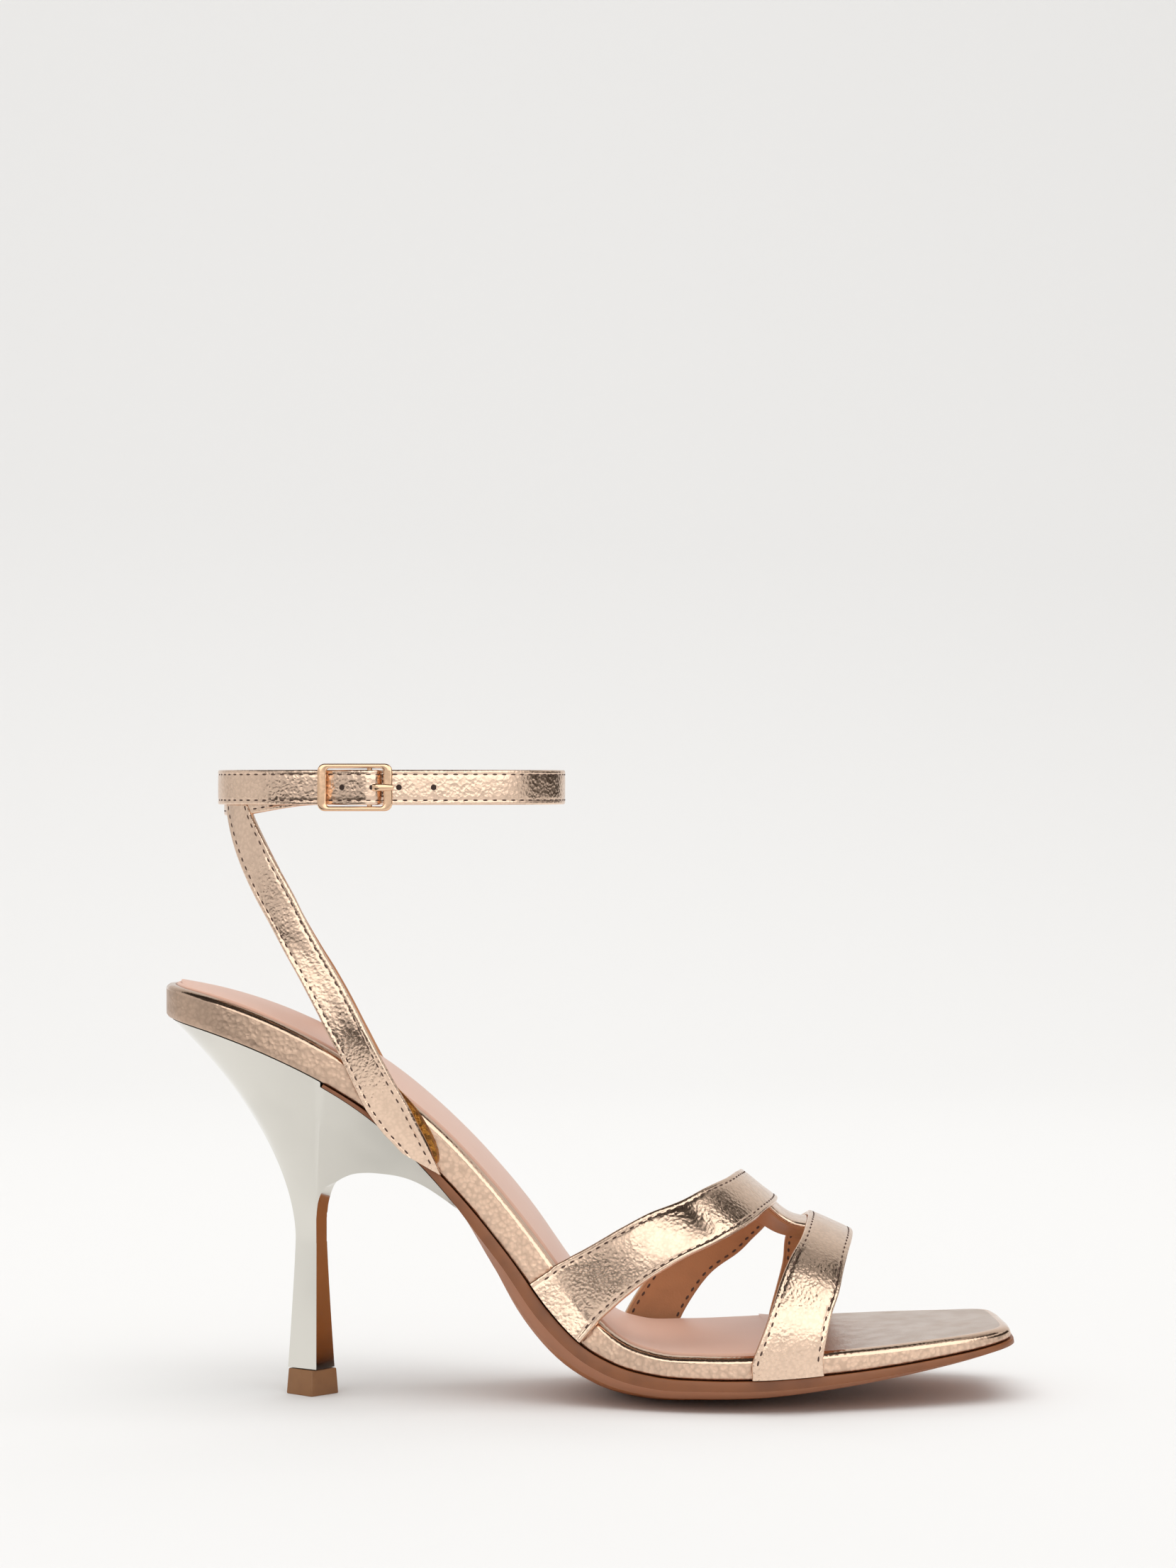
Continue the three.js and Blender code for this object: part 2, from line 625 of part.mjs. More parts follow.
// A strap: a grid of points on its outer face, given a thickness towards the foot. Seen from outside,
// the columns run to the right of the rows
function strapSolid(grid, thickness, inset = 0) {
  const rows = grid.length;
  const columns = grid[0].length;
  const normal = (i, j) => {
    const along = grid[Math.min(i + 1, rows - 1)][j].clone().sub(grid[Math.max(i - 1, 0)][j]);
    const across = grid[i][Math.min(j + 1, columns - 1)].clone().sub(grid[i][Math.max(j - 1, 0)]);
    return across.cross(along).normalize();
  };
  const sink = (depth) => grid.map((row, i) => row.map((point, j) => {
    return point.clone().addScaledVector(normal(i, j), -depth);
  }));
  return gridSolid(sink(thickness - inset), [], sink(inset));
}

const strapStandOff = strapThickness + 1.5 * clearance;

// The instep: an arch across the foot from rim to rim, at a station and a turn from the crest in degrees
const crestRows = [
  { along: 0.427, crest: 2.08 },
  { along: 0.543, crest: 1.68 },
  { along: 0.589, crest: 1.50 },
  { along: 0.635, crest: 1.326 },
  { along: 0.686, crest: 1.136 },
  { along: 0.728, crest: 0.996 },
  { along: 0.769, crest: 0.918 },
  { along: 0.820, crest: 0.82 },
  { along: 0.867, crest: 0.74 },
];
const crestAt = curveThrough(
  crestRows.map((row) => alongX(row.along)),
  crestRows.map((row) => row.crest * instepHeight),
);

// The station of the deck whose rim lies at a given x
function stationUnderRim(x) {
  let station = x;
  for (let step = 0; step < 12; step += 1) {
    const rim = place(station, 0, wrapAt(station) - rimReach);
    station += 0.7 * (x - rim.x);
  }
  return station;
}

function archPoint(x, turn) {
  const side = turn < 0 ? -1 : 1;
  const station = stationUnderRim(x);
  const reach = reachBeyond(station, side, strapStandOff) - side * crestShift;
  const rim = place(station, side * reachAt(station, side), wrapAt(station) - rimReach);
  const angle = THREE.MathUtils.degToRad(Math.abs(turn));
  const y = crestShift + side * reach * Math.sin(angle) ** (2 / archPower);
  const lift = Math.max(Math.cos(angle), 0) ** (2 / archPower);
  return new THREE.Vector3(x, y, rim.z + (crestAt(x) - rim.z) * lift);
}

function rimSidePoint(station, side, height) {
  return place(station, side * reachBeyond(station, side, strapStandOff), height);
}

// The two bands over the forefoot: where their rear and front edges cross each turn of the arch,
// as shares of the shoe's length ahead of the rear strap's foot
const rearStrapRows = [
  { turn: -90, rear: 0.000, front: 0.051 },
  { turn: -80, rear: 0.035, front: 0.090 },
  { turn: -70, rear: 0.071, front: 0.137 },
  { turn: -60, rear: 0.112, front: 0.183 },
  { turn: -50, rear: 0.153, front: 0.215 },
  { turn: -40, rear: 0.181, front: 0.237 },
  { turn: -28, rear: 0.206, front: 0.255 },
  { turn: -14, rear: 0.223, front: 0.270 },
  { turn: 0, rear: 0.233, front: 0.278 },
  { turn: 16, rear: 0.235, front: 0.281 },
  { turn: 30, rear: 0.230, front: 0.280 },
  { turn: 44, rear: 0.213, front: 0.275 },
  { turn: 56, rear: 0.192, front: 0.260 },
  { turn: 67, rear: 0.171, front: 0.239 },
  { turn: 77, rear: 0.140, front: 0.205 },
  { turn: 84, rear: 0.117, front: 0.184 },
  { turn: 90, rear: 0.097, front: 0.166 },
];
const frontStrapRows = [
  { turn: -90, rear: 0.229, front: 0.312 },
  { turn: -82, rear: 0.242, front: 0.317 },
  { turn: -73, rear: 0.253, front: 0.323 },
  { turn: -62, rear: 0.264, front: 0.333 },
  { turn: -49, rear: 0.278, front: 0.341 },
  { turn: -35, rear: 0.294, front: 0.350 },
  { turn: -15, rear: 0.308, front: 0.362 },
  { turn: 0, rear: 0.315, front: 0.368 },
  { turn: 16, rear: 0.317, front: 0.370 },
  { turn: 32, rear: 0.309, front: 0.367 },
  { turn: 47, rear: 0.299, front: 0.362 },
  { turn: 66, rear: 0.296, front: 0.358 },
  { turn: 78, rear: 0.289, front: 0.354 },
  { turn: 90, rear: 0.279, front: 0.350 },
];
const bridgeRows = [
  { turn: -20, rear: 0.243, front: 0.325 },
  { turn: -14, rear: 0.248, front: 0.327 },
  { turn: 0, rear: 0.255, front: 0.335 },
  { turn: 16, rear: 0.258, front: 0.337 },
  { turn: 32, rear: 0.257, front: 0.330 },
  { turn: 44, rear: 0.252, front: 0.322 },
];
const strapX = (share) => backX + ballStrapStart + share * shoeLength;

function archGrid(rows, columns, steps, sag = 0) {
  const turns = rows.map((row) => row.turn);
  const rearAt = curveThrough(turns, rows.map((row) => strapX(row.rear)));
  const frontAt = curveThrough(turns, rows.map((row) => strapX(row.front)));
  const last = turns[turns.length - 1];
  return Array.from({ length: steps + 1 }, (unused, i) => {
    const turn = turns[0] + ((last - turns[0]) * i) / steps;
    return Array.from({ length: columns }, (none, j) => {
      const share = j / (columns - 1);
      const point = archPoint(rearAt(turn) + (frontAt(turn) - rearAt(turn)) * share, turn);
      point.z -= sag * Math.sin(Math.PI * share) ** 1.5;
      return point;
    });
  });
}

// A band of the vamp: over the arch, and down each side of the footbed to the outsole
function vampBand(rows) {
  const columns = 4;
  const sideHeights = [0.05, 0.5];
  const foot = (row, side) => sideHeights.map((share) => Array.from({ length: columns }, (unused, j) => {
    const x = strapX(row.rear) + ((strapX(row.front) - strapX(row.rear)) * j) / (columns - 1);
    const station = stationUnderRim(x);
    return rimSidePoint(station, side, share * (wrapAt(station) - rimReach));
  }));
  const arch = archGrid(rows, columns, 22);
  return [...foot(rows[0], -1), ...arch, ...foot(rows[rows.length - 1], 1).reverse()];
}

function buildVamp() {
  const rear = toManifold(strapSolid(vampBand(rearStrapRows), strapThickness));
  const front = toManifold(strapSolid(vampBand(frontStrapRows), strapThickness));
  const bridge = toManifold(strapSolid(archGrid(bridgeRows, 7, 8, bridgeSag), strapThickness, bridgeInset));
  return fromManifold(rear.add(bridge).add(front));
}

// The ankle loop from above, by its angle: 0 at the front, a quarter turn at the lateral side
const ankleZ = deckZ(backX) + wrapAt(backX) + ankleRise;

function loopPoint(angle, outward) {
  const power = 2 / anklePower;
  const c = Math.cos(angle);
  const s = Math.sin(angle);
  const x = (ankleLength / 2) * Math.sign(c) * Math.abs(c) ** power;
  const y = -(ankleBreadth / 2) * Math.sign(s) * Math.abs(s) ** power;
  const slopeX = (Math.sign(c) * Math.abs(c) ** (2 - power)) / (ankleLength / 2);
  const slopeY = (-Math.sign(s) * Math.abs(s) ** (2 - power)) / (ankleBreadth / 2);
  const steep = Math.hypot(slopeX, slopeY);
  return new THREE.Vector2(ankleMiddle + x + (outward * slopeX) / steep, y + (outward * slopeY) / steep);
}

// Lengths along the loop, from the buckle's middle: positive towards the front
const loopSteps = 720;
const buckleAngle = Math.acos(-(((2 * buckleBehind) / ankleLength) ** (anklePower / 2)));
const loopAngles = Array.from({ length: loopSteps * 2 + 1 }, (unused, k) => {
  return buckleAngle - ((k - loopSteps) * 2 * Math.PI) / loopSteps;
});
const loopLengths = [0];
for (let k = 1; k < loopAngles.length; k += 1) {
  const step = loopPoint(loopAngles[k], 0).distanceTo(loopPoint(loopAngles[k - 1], 0));
  loopLengths.push(loopLengths[k - 1] + step);
}
const loopGirth = loopLengths[loopSteps];
const angleAtLength = curveThrough(loopLengths.map((length) => length - loopGirth), loopAngles);

// The strap's outer face over the loop, near the buckle: under the frame's ends and over its centre bar
const layerHeight = 2 * ankleThickness + clearance;
const barFloor = layerHeight + clearance;
const pinHeight = barFloor + 0.1;
const overPin = pinHeight + pinRadius + clearance + ankleThickness;
const endBarInner = buckleLength / 2 - buckleSideBar;
const weave = curveThrough(
  [
    -buckleLength, -endBarInner - buckleSideBar, -endBarInner + 0.2, 0,
    pinForward, pinForward + 1.5, endBarInner - 0.2, buckleLength / 2, buckleLength,
  ],
  [
    layerHeight, layerHeight, layerHeight + 0.05, overPin - 0.6,
    overPin + 0.1, overPin - 0.5, layerHeight, layerHeight - 0.4, ankleThickness,
  ],
);

// The ankle strap runs from the centre bar back round the heel, forward, through the buckle and back again
const freeEndLength = 43.5;
const foldLength = pinForward + 2;
const ankleRows = 112;

function ankleGrid() {
  const start = foldLength;
  const end = -loopGirth - freeEndLength;
  const edges = [-ankleWidth / 2, 0, ankleWidth / 2];
  return Array.from({ length: ankleRows + 1 }, (unused, i) => {
    const run = start + ((end - start) * ankleStep(i / ankleRows));
    const second = run < -loopGirth / 2;
    const near = second ? run + loopGirth : run;
    const angle = angleAtLength(near);
    let outward = ankleThickness;
    if (second) outward = near > buckleLength ? ankleThickness : weave(Math.max(near, -buckleLength));
    const dip = second ? 0 : ankleDip * dipAt(-near / freeEndLength);
    const point = loopPoint(angle, outward);
    return edges.map((up) => new THREE.Vector3(point.x, point.y, ankleZ - dip + up));
  });
}

// The rows lie closer together where the strap weaves through the buckle
function ankleStep(share) {
  const total = loopGirth + freeEndLength + foldLength;
  const buckleShare = (foldLength + loopGirth) / total;
  const shares = [0, buckleShare - 0.075, buckleShare + 0.05, 1];
  const rows = [0, 0.56, 0.86, 1];
  let k = 0;
  while (k < 2 && share > rows[k + 1]) k += 1;
  return shares[k] + ((shares[k + 1] - shares[k]) * (share - rows[k])) / (rows[k + 1] - rows[k]);
}

// The inner layer hangs lower where the sling joins it
function dipAt(share) {
  return smoothStep(0.2, 0.8, share) * (1 - smoothStep(1.0, 1.8, share));
}

// The sling: a strap on each side from the waist up to the back of the ankle. Heights are shares of the
// way up to the ankle strap, and rear and front are shares of the leg's half length behind its middle
const slingRows = [
  { rearUp: 0.038, rear: -0.018, frontUp: -0.030, front: -0.208 },
  { rearUp: 0.062, rear: 0.018, frontUp: 0.010, front: -0.178 },
  { rearUp: 0.085, rear: 0.052, frontUp: 0.060, front: -0.135 },
  { rearUp: 0.120, rear: 0.095, frontUp: 0.110, front: -0.092 },
  { rearUp: 0.156, rear: 0.136, frontUp: 0.156, front: -0.057 },
  { rearUp: 0.211, rear: 0.185, frontUp: 0.211, front: -0.003 },
  { rearUp: 0.285, rear: 0.250, frontUp: 0.285, front: 0.068 },
  { rearUp: 0.352, rear: 0.319, frontUp: 0.352, front: 0.130 },
  { rearUp: 0.421, rear: 0.389, frontUp: 0.421, front: 0.194 },
  { rearUp: 0.496, rear: 0.473, frontUp: 0.496, front: 0.273 },
  { rearUp: 0.563, rear: 0.557, frontUp: 0.563, front: 0.356 },
  { rearUp: 0.637, rear: 0.649, frontUp: 0.637, front: 0.446 },
  { rearUp: 0.711, rear: 0.746, frontUp: 0.711, front: 0.532 },
  { rearUp: 0.786, rear: 0.836, frontUp: 0.786, front: 0.630 },
  { rearUp: 0.860, rear: 0.911, frontUp: 0.860, front: 0.727 },
  { rearUp: 0.939, rear: 0.970, frontUp: 0.939, front: 0.828 },
  { rearUp: 1.010, rear: 0.990, frontUp: 1.010, front: 0.885 },
];
const slingFootX = alongX(0.302);
const slingFootZ = deckZ(slingFootX) - slingFootDrop;
const legHalfLength = 0.267 * shoeLength;
const legMiddle = alongX(0.27);

// The deck station and the height over the deck of a point beside the footbed
function stationBeside(x, z) {
  let station = x;
  let height = 0;
  for (let step = 0; step < 16; step += 1) {
    height = (z - deckZ(station)) / Math.cos(leanAt(station));
    station += 0.5 * (x - height * Math.sin(leanAt(station)) - station);
  }
  return { station, height };
}

function slingPoint(up, behind, towardFront, side) {
  const faceInset = 0.2;
  const climb = Math.min(Math.max(up, 0), 1);
  const topLength = ankleLength / 2 + ankleThickness - faceInset;
  const halfLength = legHalfLength + (topLength - legHalfLength) * climb;
  const middle = legMiddle + (ankleMiddle - legMiddle) * climb;
  const setBack = side > 0 ? medialSlingBack * (1 - Math.abs(behind) ** 8) : 0;
  const x = middle - behind * halfLength - setBack;
  const z = slingFootZ + up * (ankleZ - slingFootZ);
  const { station, height } = stationBeside(x, Math.min(z, deckZ(x) + 2 * wrapHeight));
  const beside = reachAt(station, side) + soleMargin + clearance + slingThickness;
  const legBreadth = ankleBreadth / 2 + ankleThickness - faceInset;
  const aroundLoop = Math.min(Math.abs(behind + setBack / halfLength), 1);
  const round = legBreadth * (1 - aroundLoop ** anklePower) ** (1 / anklePower);
  const overRim = z - deckZ(x) - wrapHeight;
  const free = smoothStep(wrapHeight * 0.3, wrapHeight * 3, overRim);
  const lifted = smoothStep(0, wrapHeight * 0.8, height) * (1 - smoothStep(wrapHeight, wrapHeight * 4, overRim));
  const y = beside + (round - beside) * free + slingStandOff * lifted * towardFront;
  return new THREE.Vector3(x, side * y, z);
}

function slingGrid(side) {
  const columns = 5;
  const columnShares = Array.from({ length: columns }, (unused, j) => j / (columns - 1));
  if (side > 0) columnShares.reverse();
  return slingRows.map((row) => columnShares.map((share) => {
    const up = row.rearUp + (row.frontUp - row.rearUp) * share;
    const behind = row.rear + (row.front - row.rear) * share;
    return slingPoint(up, behind, share * share, side);
  }));
}

// The buckle's own frame: X along the strap to the front, Y up and Z away from the ankle
function buckleFrame() {
  const ahead = loopPoint(angleAtLength(0.5), 0);
  const behind = loopPoint(angleAtLength(-0.5), 0);
  const along = new THREE.Vector3(ahead.x - behind.x, ahead.y - behind.y, 0).normalize();
  const up = new THREE.Vector3(0, 0, 1);
  const out = new THREE.Vector3().crossVectors(along, up);
  const middle = loopPoint(angleAtLength(0), 0);
  return new THREE.Matrix4().makeBasis(along, up, out).setPosition(middle.x, middle.y, ankleZ);
}
const onBuckle = buckleFrame();
const slotLength = 4.4;
const slotGap = 0.35;

function buildAnkleStraps() {
  const strap = toManifold(strapSolid(ankleGrid(), ankleThickness));
  const slings = [-1, 1].map((side) => toManifold(strapSolid(slingGrid(side), slingThickness)));
  const slot = new THREE.BoxGeometry(slotLength, prongWidth + 2 * slotGap, 2 * overPin);
  slot.translate(pinForward + 0.1, 0, ankleThickness + clearance / 2 + overPin);
  const hole = toManifold(positionOnly(slot.applyMatrix4(onBuckle)));
  return fromManifold(strap.subtract(hole).add(slings[0]).add(slings[1]));
}

function roundedRectangle(path, length, height, radius) {
  const x = length / 2;
  const y = height / 2;
  path.moveTo(-x + radius, -y);
  path.lineTo(x - radius, -y);
  path.absarc(x - radius, -y + radius, radius, -Math.PI / 2, 0, false);
  path.lineTo(x, y - radius);
  path.absarc(x - radius, y - radius, radius, 0, Math.PI / 2, false);
  path.lineTo(-x + radius, y);
  path.absarc(-x + radius, y - radius, radius, Math.PI / 2, Math.PI, false);
  path.lineTo(-x, -y + radius);
  path.absarc(-x + radius, -y + radius, radius, Math.PI, 1.5 * Math.PI, false);
  return path;
}

function buildBuckleFrame() {
  const bevel = 0.3;
  const outline = roundedRectangle(new THREE.Shape(), buckleLength - 2 * bevel, buckleHeight - 2 * bevel, 1.6);
  const openLength = buckleLength - 2 * buckleSideBar + 2 * bevel;
  const openHeight = buckleHeight - 2 * buckleRail + 2 * bevel;
  outline.holes.push(roundedRectangle(new THREE.Path(), openLength, openHeight, 0.9));
  const frame = new THREE.ExtrudeGeometry(outline, {
    depth: buckleDepth - 2 * bevel,
    bevelEnabled: true,
    bevelThickness: bevel,
    bevelSize: bevel,
    bevelSegments: 2,
    curveSegments: 4,
  });
  frame.translate(0, 0, barFloor + bevel);
  const pin = new THREE.CylinderGeometry(pinRadius, pinRadius, buckleHeight - buckleRail, 12);
  pin.translate(pinForward, 0, pinHeight);
  const joined = toManifold(positionOnly(frame)).add(toManifold(positionOnly(pin)));
  return fromManifold(joined).applyMatrix4(onBuckle);
}

// Prong: an eye round the centre bar and an arm that comes out through the strap onto the front bar
function buildProng() {
  const eyeGap = 0.25;
  const eyeInner = pinRadius + eyeGap;
  const eyeOuter = eyeInner + 0.8;
  const eye = new THREE.Shape();
  eye.absarc(0, 0, eyeOuter, 0, 2 * Math.PI, false);
  eye.holes.push(new THREE.Path().absarc(0, 0, eyeInner, 0, 2 * Math.PI, true));
  const rest = barFloor + buckleDepth + clearance - pinHeight;
  const reach = buckleLength / 2 - pinForward + 0.5;
  const arm = new THREE.Shape([
    new THREE.Vector2(-0.5, eyeInner + 0.1),
    new THREE.Vector2(0.6, eyeInner + 0.1),
    new THREE.Vector2(1.7, rest),
    new THREE.Vector2(reach - 0.2, rest),
    new THREE.Vector2(reach, rest + prongThickness * 0.45),
    new THREE.Vector2(reach - 0.5, rest + prongThickness),
    new THREE.Vector2(0.9, rest + prongThickness),
    new THREE.Vector2(-0.5, eyeOuter - 0.1),
  ]);
  const options = { depth: prongWidth, bevelEnabled: false, curveSegments: 12 };
  const solids = [eye, arm].map((shape) => toManifold(positionOnly(new THREE.ExtrudeGeometry(shape, options))));
  const prong = fromManifold(solids[0].add(solids[1]));
  prong.translate(0, 0, -prongWidth / 2);
  prong.rotateX(Math.PI / 2);
  prong.translate(pinForward, 0, pinHeight);
  return prong.applyMatrix4(onBuckle);
}

const finish = (color, roughness, metalness) => ({ color, roughness, metalness });
const goldLeather = finish(0xcfb294, 0.34, 0.75);
const pieces = [
  { name: "outsole", build: buildOutsole, look: finish(0x7d5238, 0.5, 0) },
  { name: "footbed", build: () => fromManifold(toManifold(buildFootbed()).subtract(toManifold(recessTool()))),
    look: goldLeather },
  { name: "sock", build: buildSock, look: finish(0xdcb69e, 0.6, 0) },
  { name: "heel", build: buildHeel, look: finish(0xddd6c6, 0.06, 1) },
  { name: "heel_tip", build: buildHeelTip, look: finish(0x93663f, 0.6, 0) },
  { name: "vamp", build: buildVamp, look: goldLeather },
  { name: "ankle_straps", build: buildAnkleStraps, look: goldLeather },
  { name: "buckle_frame", build: buildBuckleFrame, look: finish(0xe0b98c, 0.12, 1) },
  { name: "buckle_prong", build: buildProng, look: finish(0xe0b98c, 0.12, 1) },
];

const sandal = new THREE.Group();
for (const piece of pieces) {
  const mesh = new THREE.Mesh(piece.build(), new THREE.MeshStandardMaterial(piece.look));
  mesh.name = piece.name;
  sandal.add(mesh);
}

export default sandal;
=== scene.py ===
import math
from collections import namedtuple

import bmesh
import bpy
import numpy as np
from bpy.props import FloatProperty, FloatVectorProperty, PointerProperty
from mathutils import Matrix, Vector


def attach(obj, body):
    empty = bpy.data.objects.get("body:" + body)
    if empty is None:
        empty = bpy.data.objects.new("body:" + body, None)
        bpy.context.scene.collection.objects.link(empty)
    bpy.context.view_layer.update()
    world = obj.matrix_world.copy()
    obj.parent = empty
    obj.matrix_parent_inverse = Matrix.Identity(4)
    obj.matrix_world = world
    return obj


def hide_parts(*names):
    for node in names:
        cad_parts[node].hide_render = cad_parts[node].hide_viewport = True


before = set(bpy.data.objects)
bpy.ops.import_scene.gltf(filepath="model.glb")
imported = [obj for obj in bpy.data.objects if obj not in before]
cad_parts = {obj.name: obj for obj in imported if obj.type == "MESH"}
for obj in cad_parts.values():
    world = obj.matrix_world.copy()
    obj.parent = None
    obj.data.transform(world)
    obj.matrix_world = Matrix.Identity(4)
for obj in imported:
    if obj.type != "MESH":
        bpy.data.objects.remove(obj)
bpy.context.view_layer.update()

bl_info = {
    "name": "Heeled Sandal",
    "version": (1, 0, 0),
    "blender": (4, 5, 0),
    "location": "3D Viewport > Sidebar > Sandal",
    "description": "Dresses a heeled sandal: footbed, sock, sole, heel, crossed straps, sling and buckle",
    "category": "Object",
}

# Lengths are worked out in millimetres and turned into metres when a mesh is made
MM = 0.001


def rgb(red, green, blue):
    """A colour as seen on a screen, from 0 to 255, turned into the shader's linear values."""
    def linear(value):
        value = value / 255.0
        return value / 12.92 if value <= 0.04045 else ((value + 0.055) / 1.055) ** 2.4
    return (linear(red), linear(green), linear(blue))


# Properties: the sizes and colours that a user would change


def length(label, default_mm, description):
    return FloatProperty(
        name=label,
        description=description,
        default=default_mm * MM,
        min=0.0,
        unit="LENGTH",
        subtype="DISTANCE",
    )


def share(label, default, description):
    return FloatProperty(name=label, description=description, default=default, min=0.0, subtype="FACTOR")


def number(label, default, description, lowest=0.0):
    return FloatProperty(name=label, description=description, default=default, min=lowest)


def light_power(label, default, description):
    return FloatProperty(name=label, description=description, default=default, min=0.0, unit="POWER")


def colour(label, default, description):
    return FloatVectorProperty(
        name=label, description=description, default=default, size=3, min=0.0, max=1.0, subtype="COLOR"
    )


class SandalLast(bpy.types.PropertyGroup):
    shoe_length: length("Shoe length", 216, "Length of the footbed along the floor")
    seat_overhang: length("Seat overhang", 37.2, "Seat's back end behind the middle of the heel tip")
    seat_width: length("Seat width", 53, "Width that the seat's outline is drawn from")
    waist_width: length("Waist width", 44, "Width that the waist's outline is drawn from")
    ball_width: length("Ball width", 73.5, "Width that the forefoot's outline is drawn from")
    toe_width: length("Toe width", 42, "Width that the square toe is drawn from")
    seat_rise: length("Seat rise", 89, "Height of the seat over the ball")
    ball_deck: length("Ball deck", 8.5, "Height of the footbed's underside over the floor at the ball")
    toe_spring: length("Toe spring", 7.3, "How far the toe's tip lifts")
    arch_bank: length("Arch bank", 4.6, "How far the medial edge rises at the arch")


class SandalSole(bpy.types.PropertyGroup):
    wrap_height: length("Rand height", 8, "Height of the footbed's covered side")
    wrap_rim: length("Rim width", 2.2, "Gold rim between the edge and the sock")
    rim_drop: length("Rim drop", 1.7, "How far the rounded rim falls at its outer edge")
    sole_edge: length("Sole edge", 5.2, "Full height of the outsole's edge")
    sole_crown: length("Sole crown", 3.7, "How far the tread bellies out under the ball")
    sole_margin: length("Sole margin", 0.5, "Outsole's reach past the footbed")
    sole_start: length("Sole start", 41.2, "Outsole's rear end, from the back of the seat")
    sock_length: length("Sock length", 159, "Sock's front end, from the back of the seat")
    sock_thickness: length("Sock thickness", 1.2, "Sock's thickness at its edge")
    sock_crown: length("Sock crown", 0.8, "How far the padding swells over the sock's edge")
    clearance: length("Clearance", 0.3, "Room between neighbouring pieces")


class SandalHeel(bpy.types.PropertyGroup):
    waist_height: length("Waist height", 40, "Height of the column's slimmest place")
    waist_length: length("Waist length", 8, "Column from back to front at its slimmest place")
    waist_width: length("Waist width", 7.2, "Column from side to side at its slimmest place")
    base_length: length("Base length", 11.9, "Column from back to front over the tip")
    base_width: length("Base width", 11.6, "Column from side to side over the tip")
    ridge_forward: length("Ridge forward", 1.4, "How far the side ridges lie ahead of the middle")
    flare: number("Flare", 1.8, "Larger is more waisted", 1.0)
    inset: length("Inset", 0.8, "How far the heel's seat stays inside the footbed")
    wing_share: share("Wing", 0.352, "Heel's wing from the back of the seat, as a share of the shoe's length")
    tip_height: length("Tip height", 6.5, "Height of the heel tip")
    tip_length: length("Tip length", 13.5, "Heel tip from corner to corner, back to front")
    tip_width: length("Tip width", 13.4, "Heel tip from corner to corner, side to side")
    tip_taper: share("Tip taper", 0.92, "Size of the tip's top as a share of its floor face")


class SandalStraps(bpy.types.PropertyGroup):
    thickness: length("Vamp thickness", 1.8, "Thickness of the crossed straps with their lining")
    ball_start: length("Rear strap start", 97.5, "Rear strap's lateral foot, from the back of the seat")
    instep_height: length("Instep height", 50, "Height that the arch of the instep is drawn from")
    rim_reach: length("Rim reach", 1.5, "Start of the straps' arch under the rim's top")
    arch_power: number("Arch fullness", 2.25, "2 is round, more is squarer", 1.5)
    crest_shift: length("Crest shift", 3, "Crest of the instep towards the medial side")
    bridge_inset: length("Bridge inset", 0.35, "How far the bridge lies under the straps' face")
    bridge_sag: length("Bridge sag", 2.2, "How far the bridge sinks between the two bands")
    sling_thickness: length("Sling thickness", 1.5, "Thickness of the sling")
    sling_stand_off: length("Sling stand-off", 3, "Gap in front of the sling's foot")
    sling_foot_drop: length("Sling foot drop", 2.2, "How far the sling reaches under the deck line")
    medial_sling_back: length("Medial sling back", 2.1, "How far the medial leg lies behind the lateral one")
    ankle_thickness: length("Ankle strap thickness", 1.3, "Thickness of the ankle strap")
    ankle_width: length("Ankle strap width", 8.8, "Width of the ankle strap")
    ankle_rise: length("Ankle rise", 49.7, "Middle of the ankle strap over the rim at the seat's back")
    ankle_length: length("Ankle length", 84.9, "Inside of the ankle loop, front to back")
    ankle_breadth: length("Ankle breadth", 52, "Inside of the ankle loop, side to side")
    ankle_middle: length("Ankle middle", 21.2, "Middle of the loop ahead of the heel tip")
    ankle_dip: length("Ankle dip", 2.8, "How far the inner layer hangs down to the sling")
    free_end: length("Free end", 43.5, "Strap's free end behind the buckle")
    stitch_inset: length("Stitch inset", 1.35, "Stitch line from the strap's edge")
    stitch_pitch: length("Stitch pitch", 2.55, "Length of one stitch with its hole")


class SandalBuckle(bpy.types.PropertyGroup):
    frame_length: length("Frame length", 18.8, "Buckle frame along the strap")
    frame_height: length("Frame height", 11.9, "Buckle frame across the strap")
    side_bar: length("End bars", 2.2, "Width of the frame's two ends")
    rail: length("Rails", 1.2, "Width of the frame's top and bottom")
    depth: length("Depth", 1.6, "Thickness of the frame")
    behind: length("Buckle behind", 9.5, "Buckle's middle behind the loop's middle")
    pin_radius: length("Pin radius", 0.65, "Radius of the centre bar")
    pin_forward: length("Pin forward", 3.6, "Centre bar ahead of the buckle's middle")
    prong_width: length("Prong width", 1.8, "Width of the prong")
    prong_thickness: length("Prong thickness", 0.9, "Thickness of the prong")


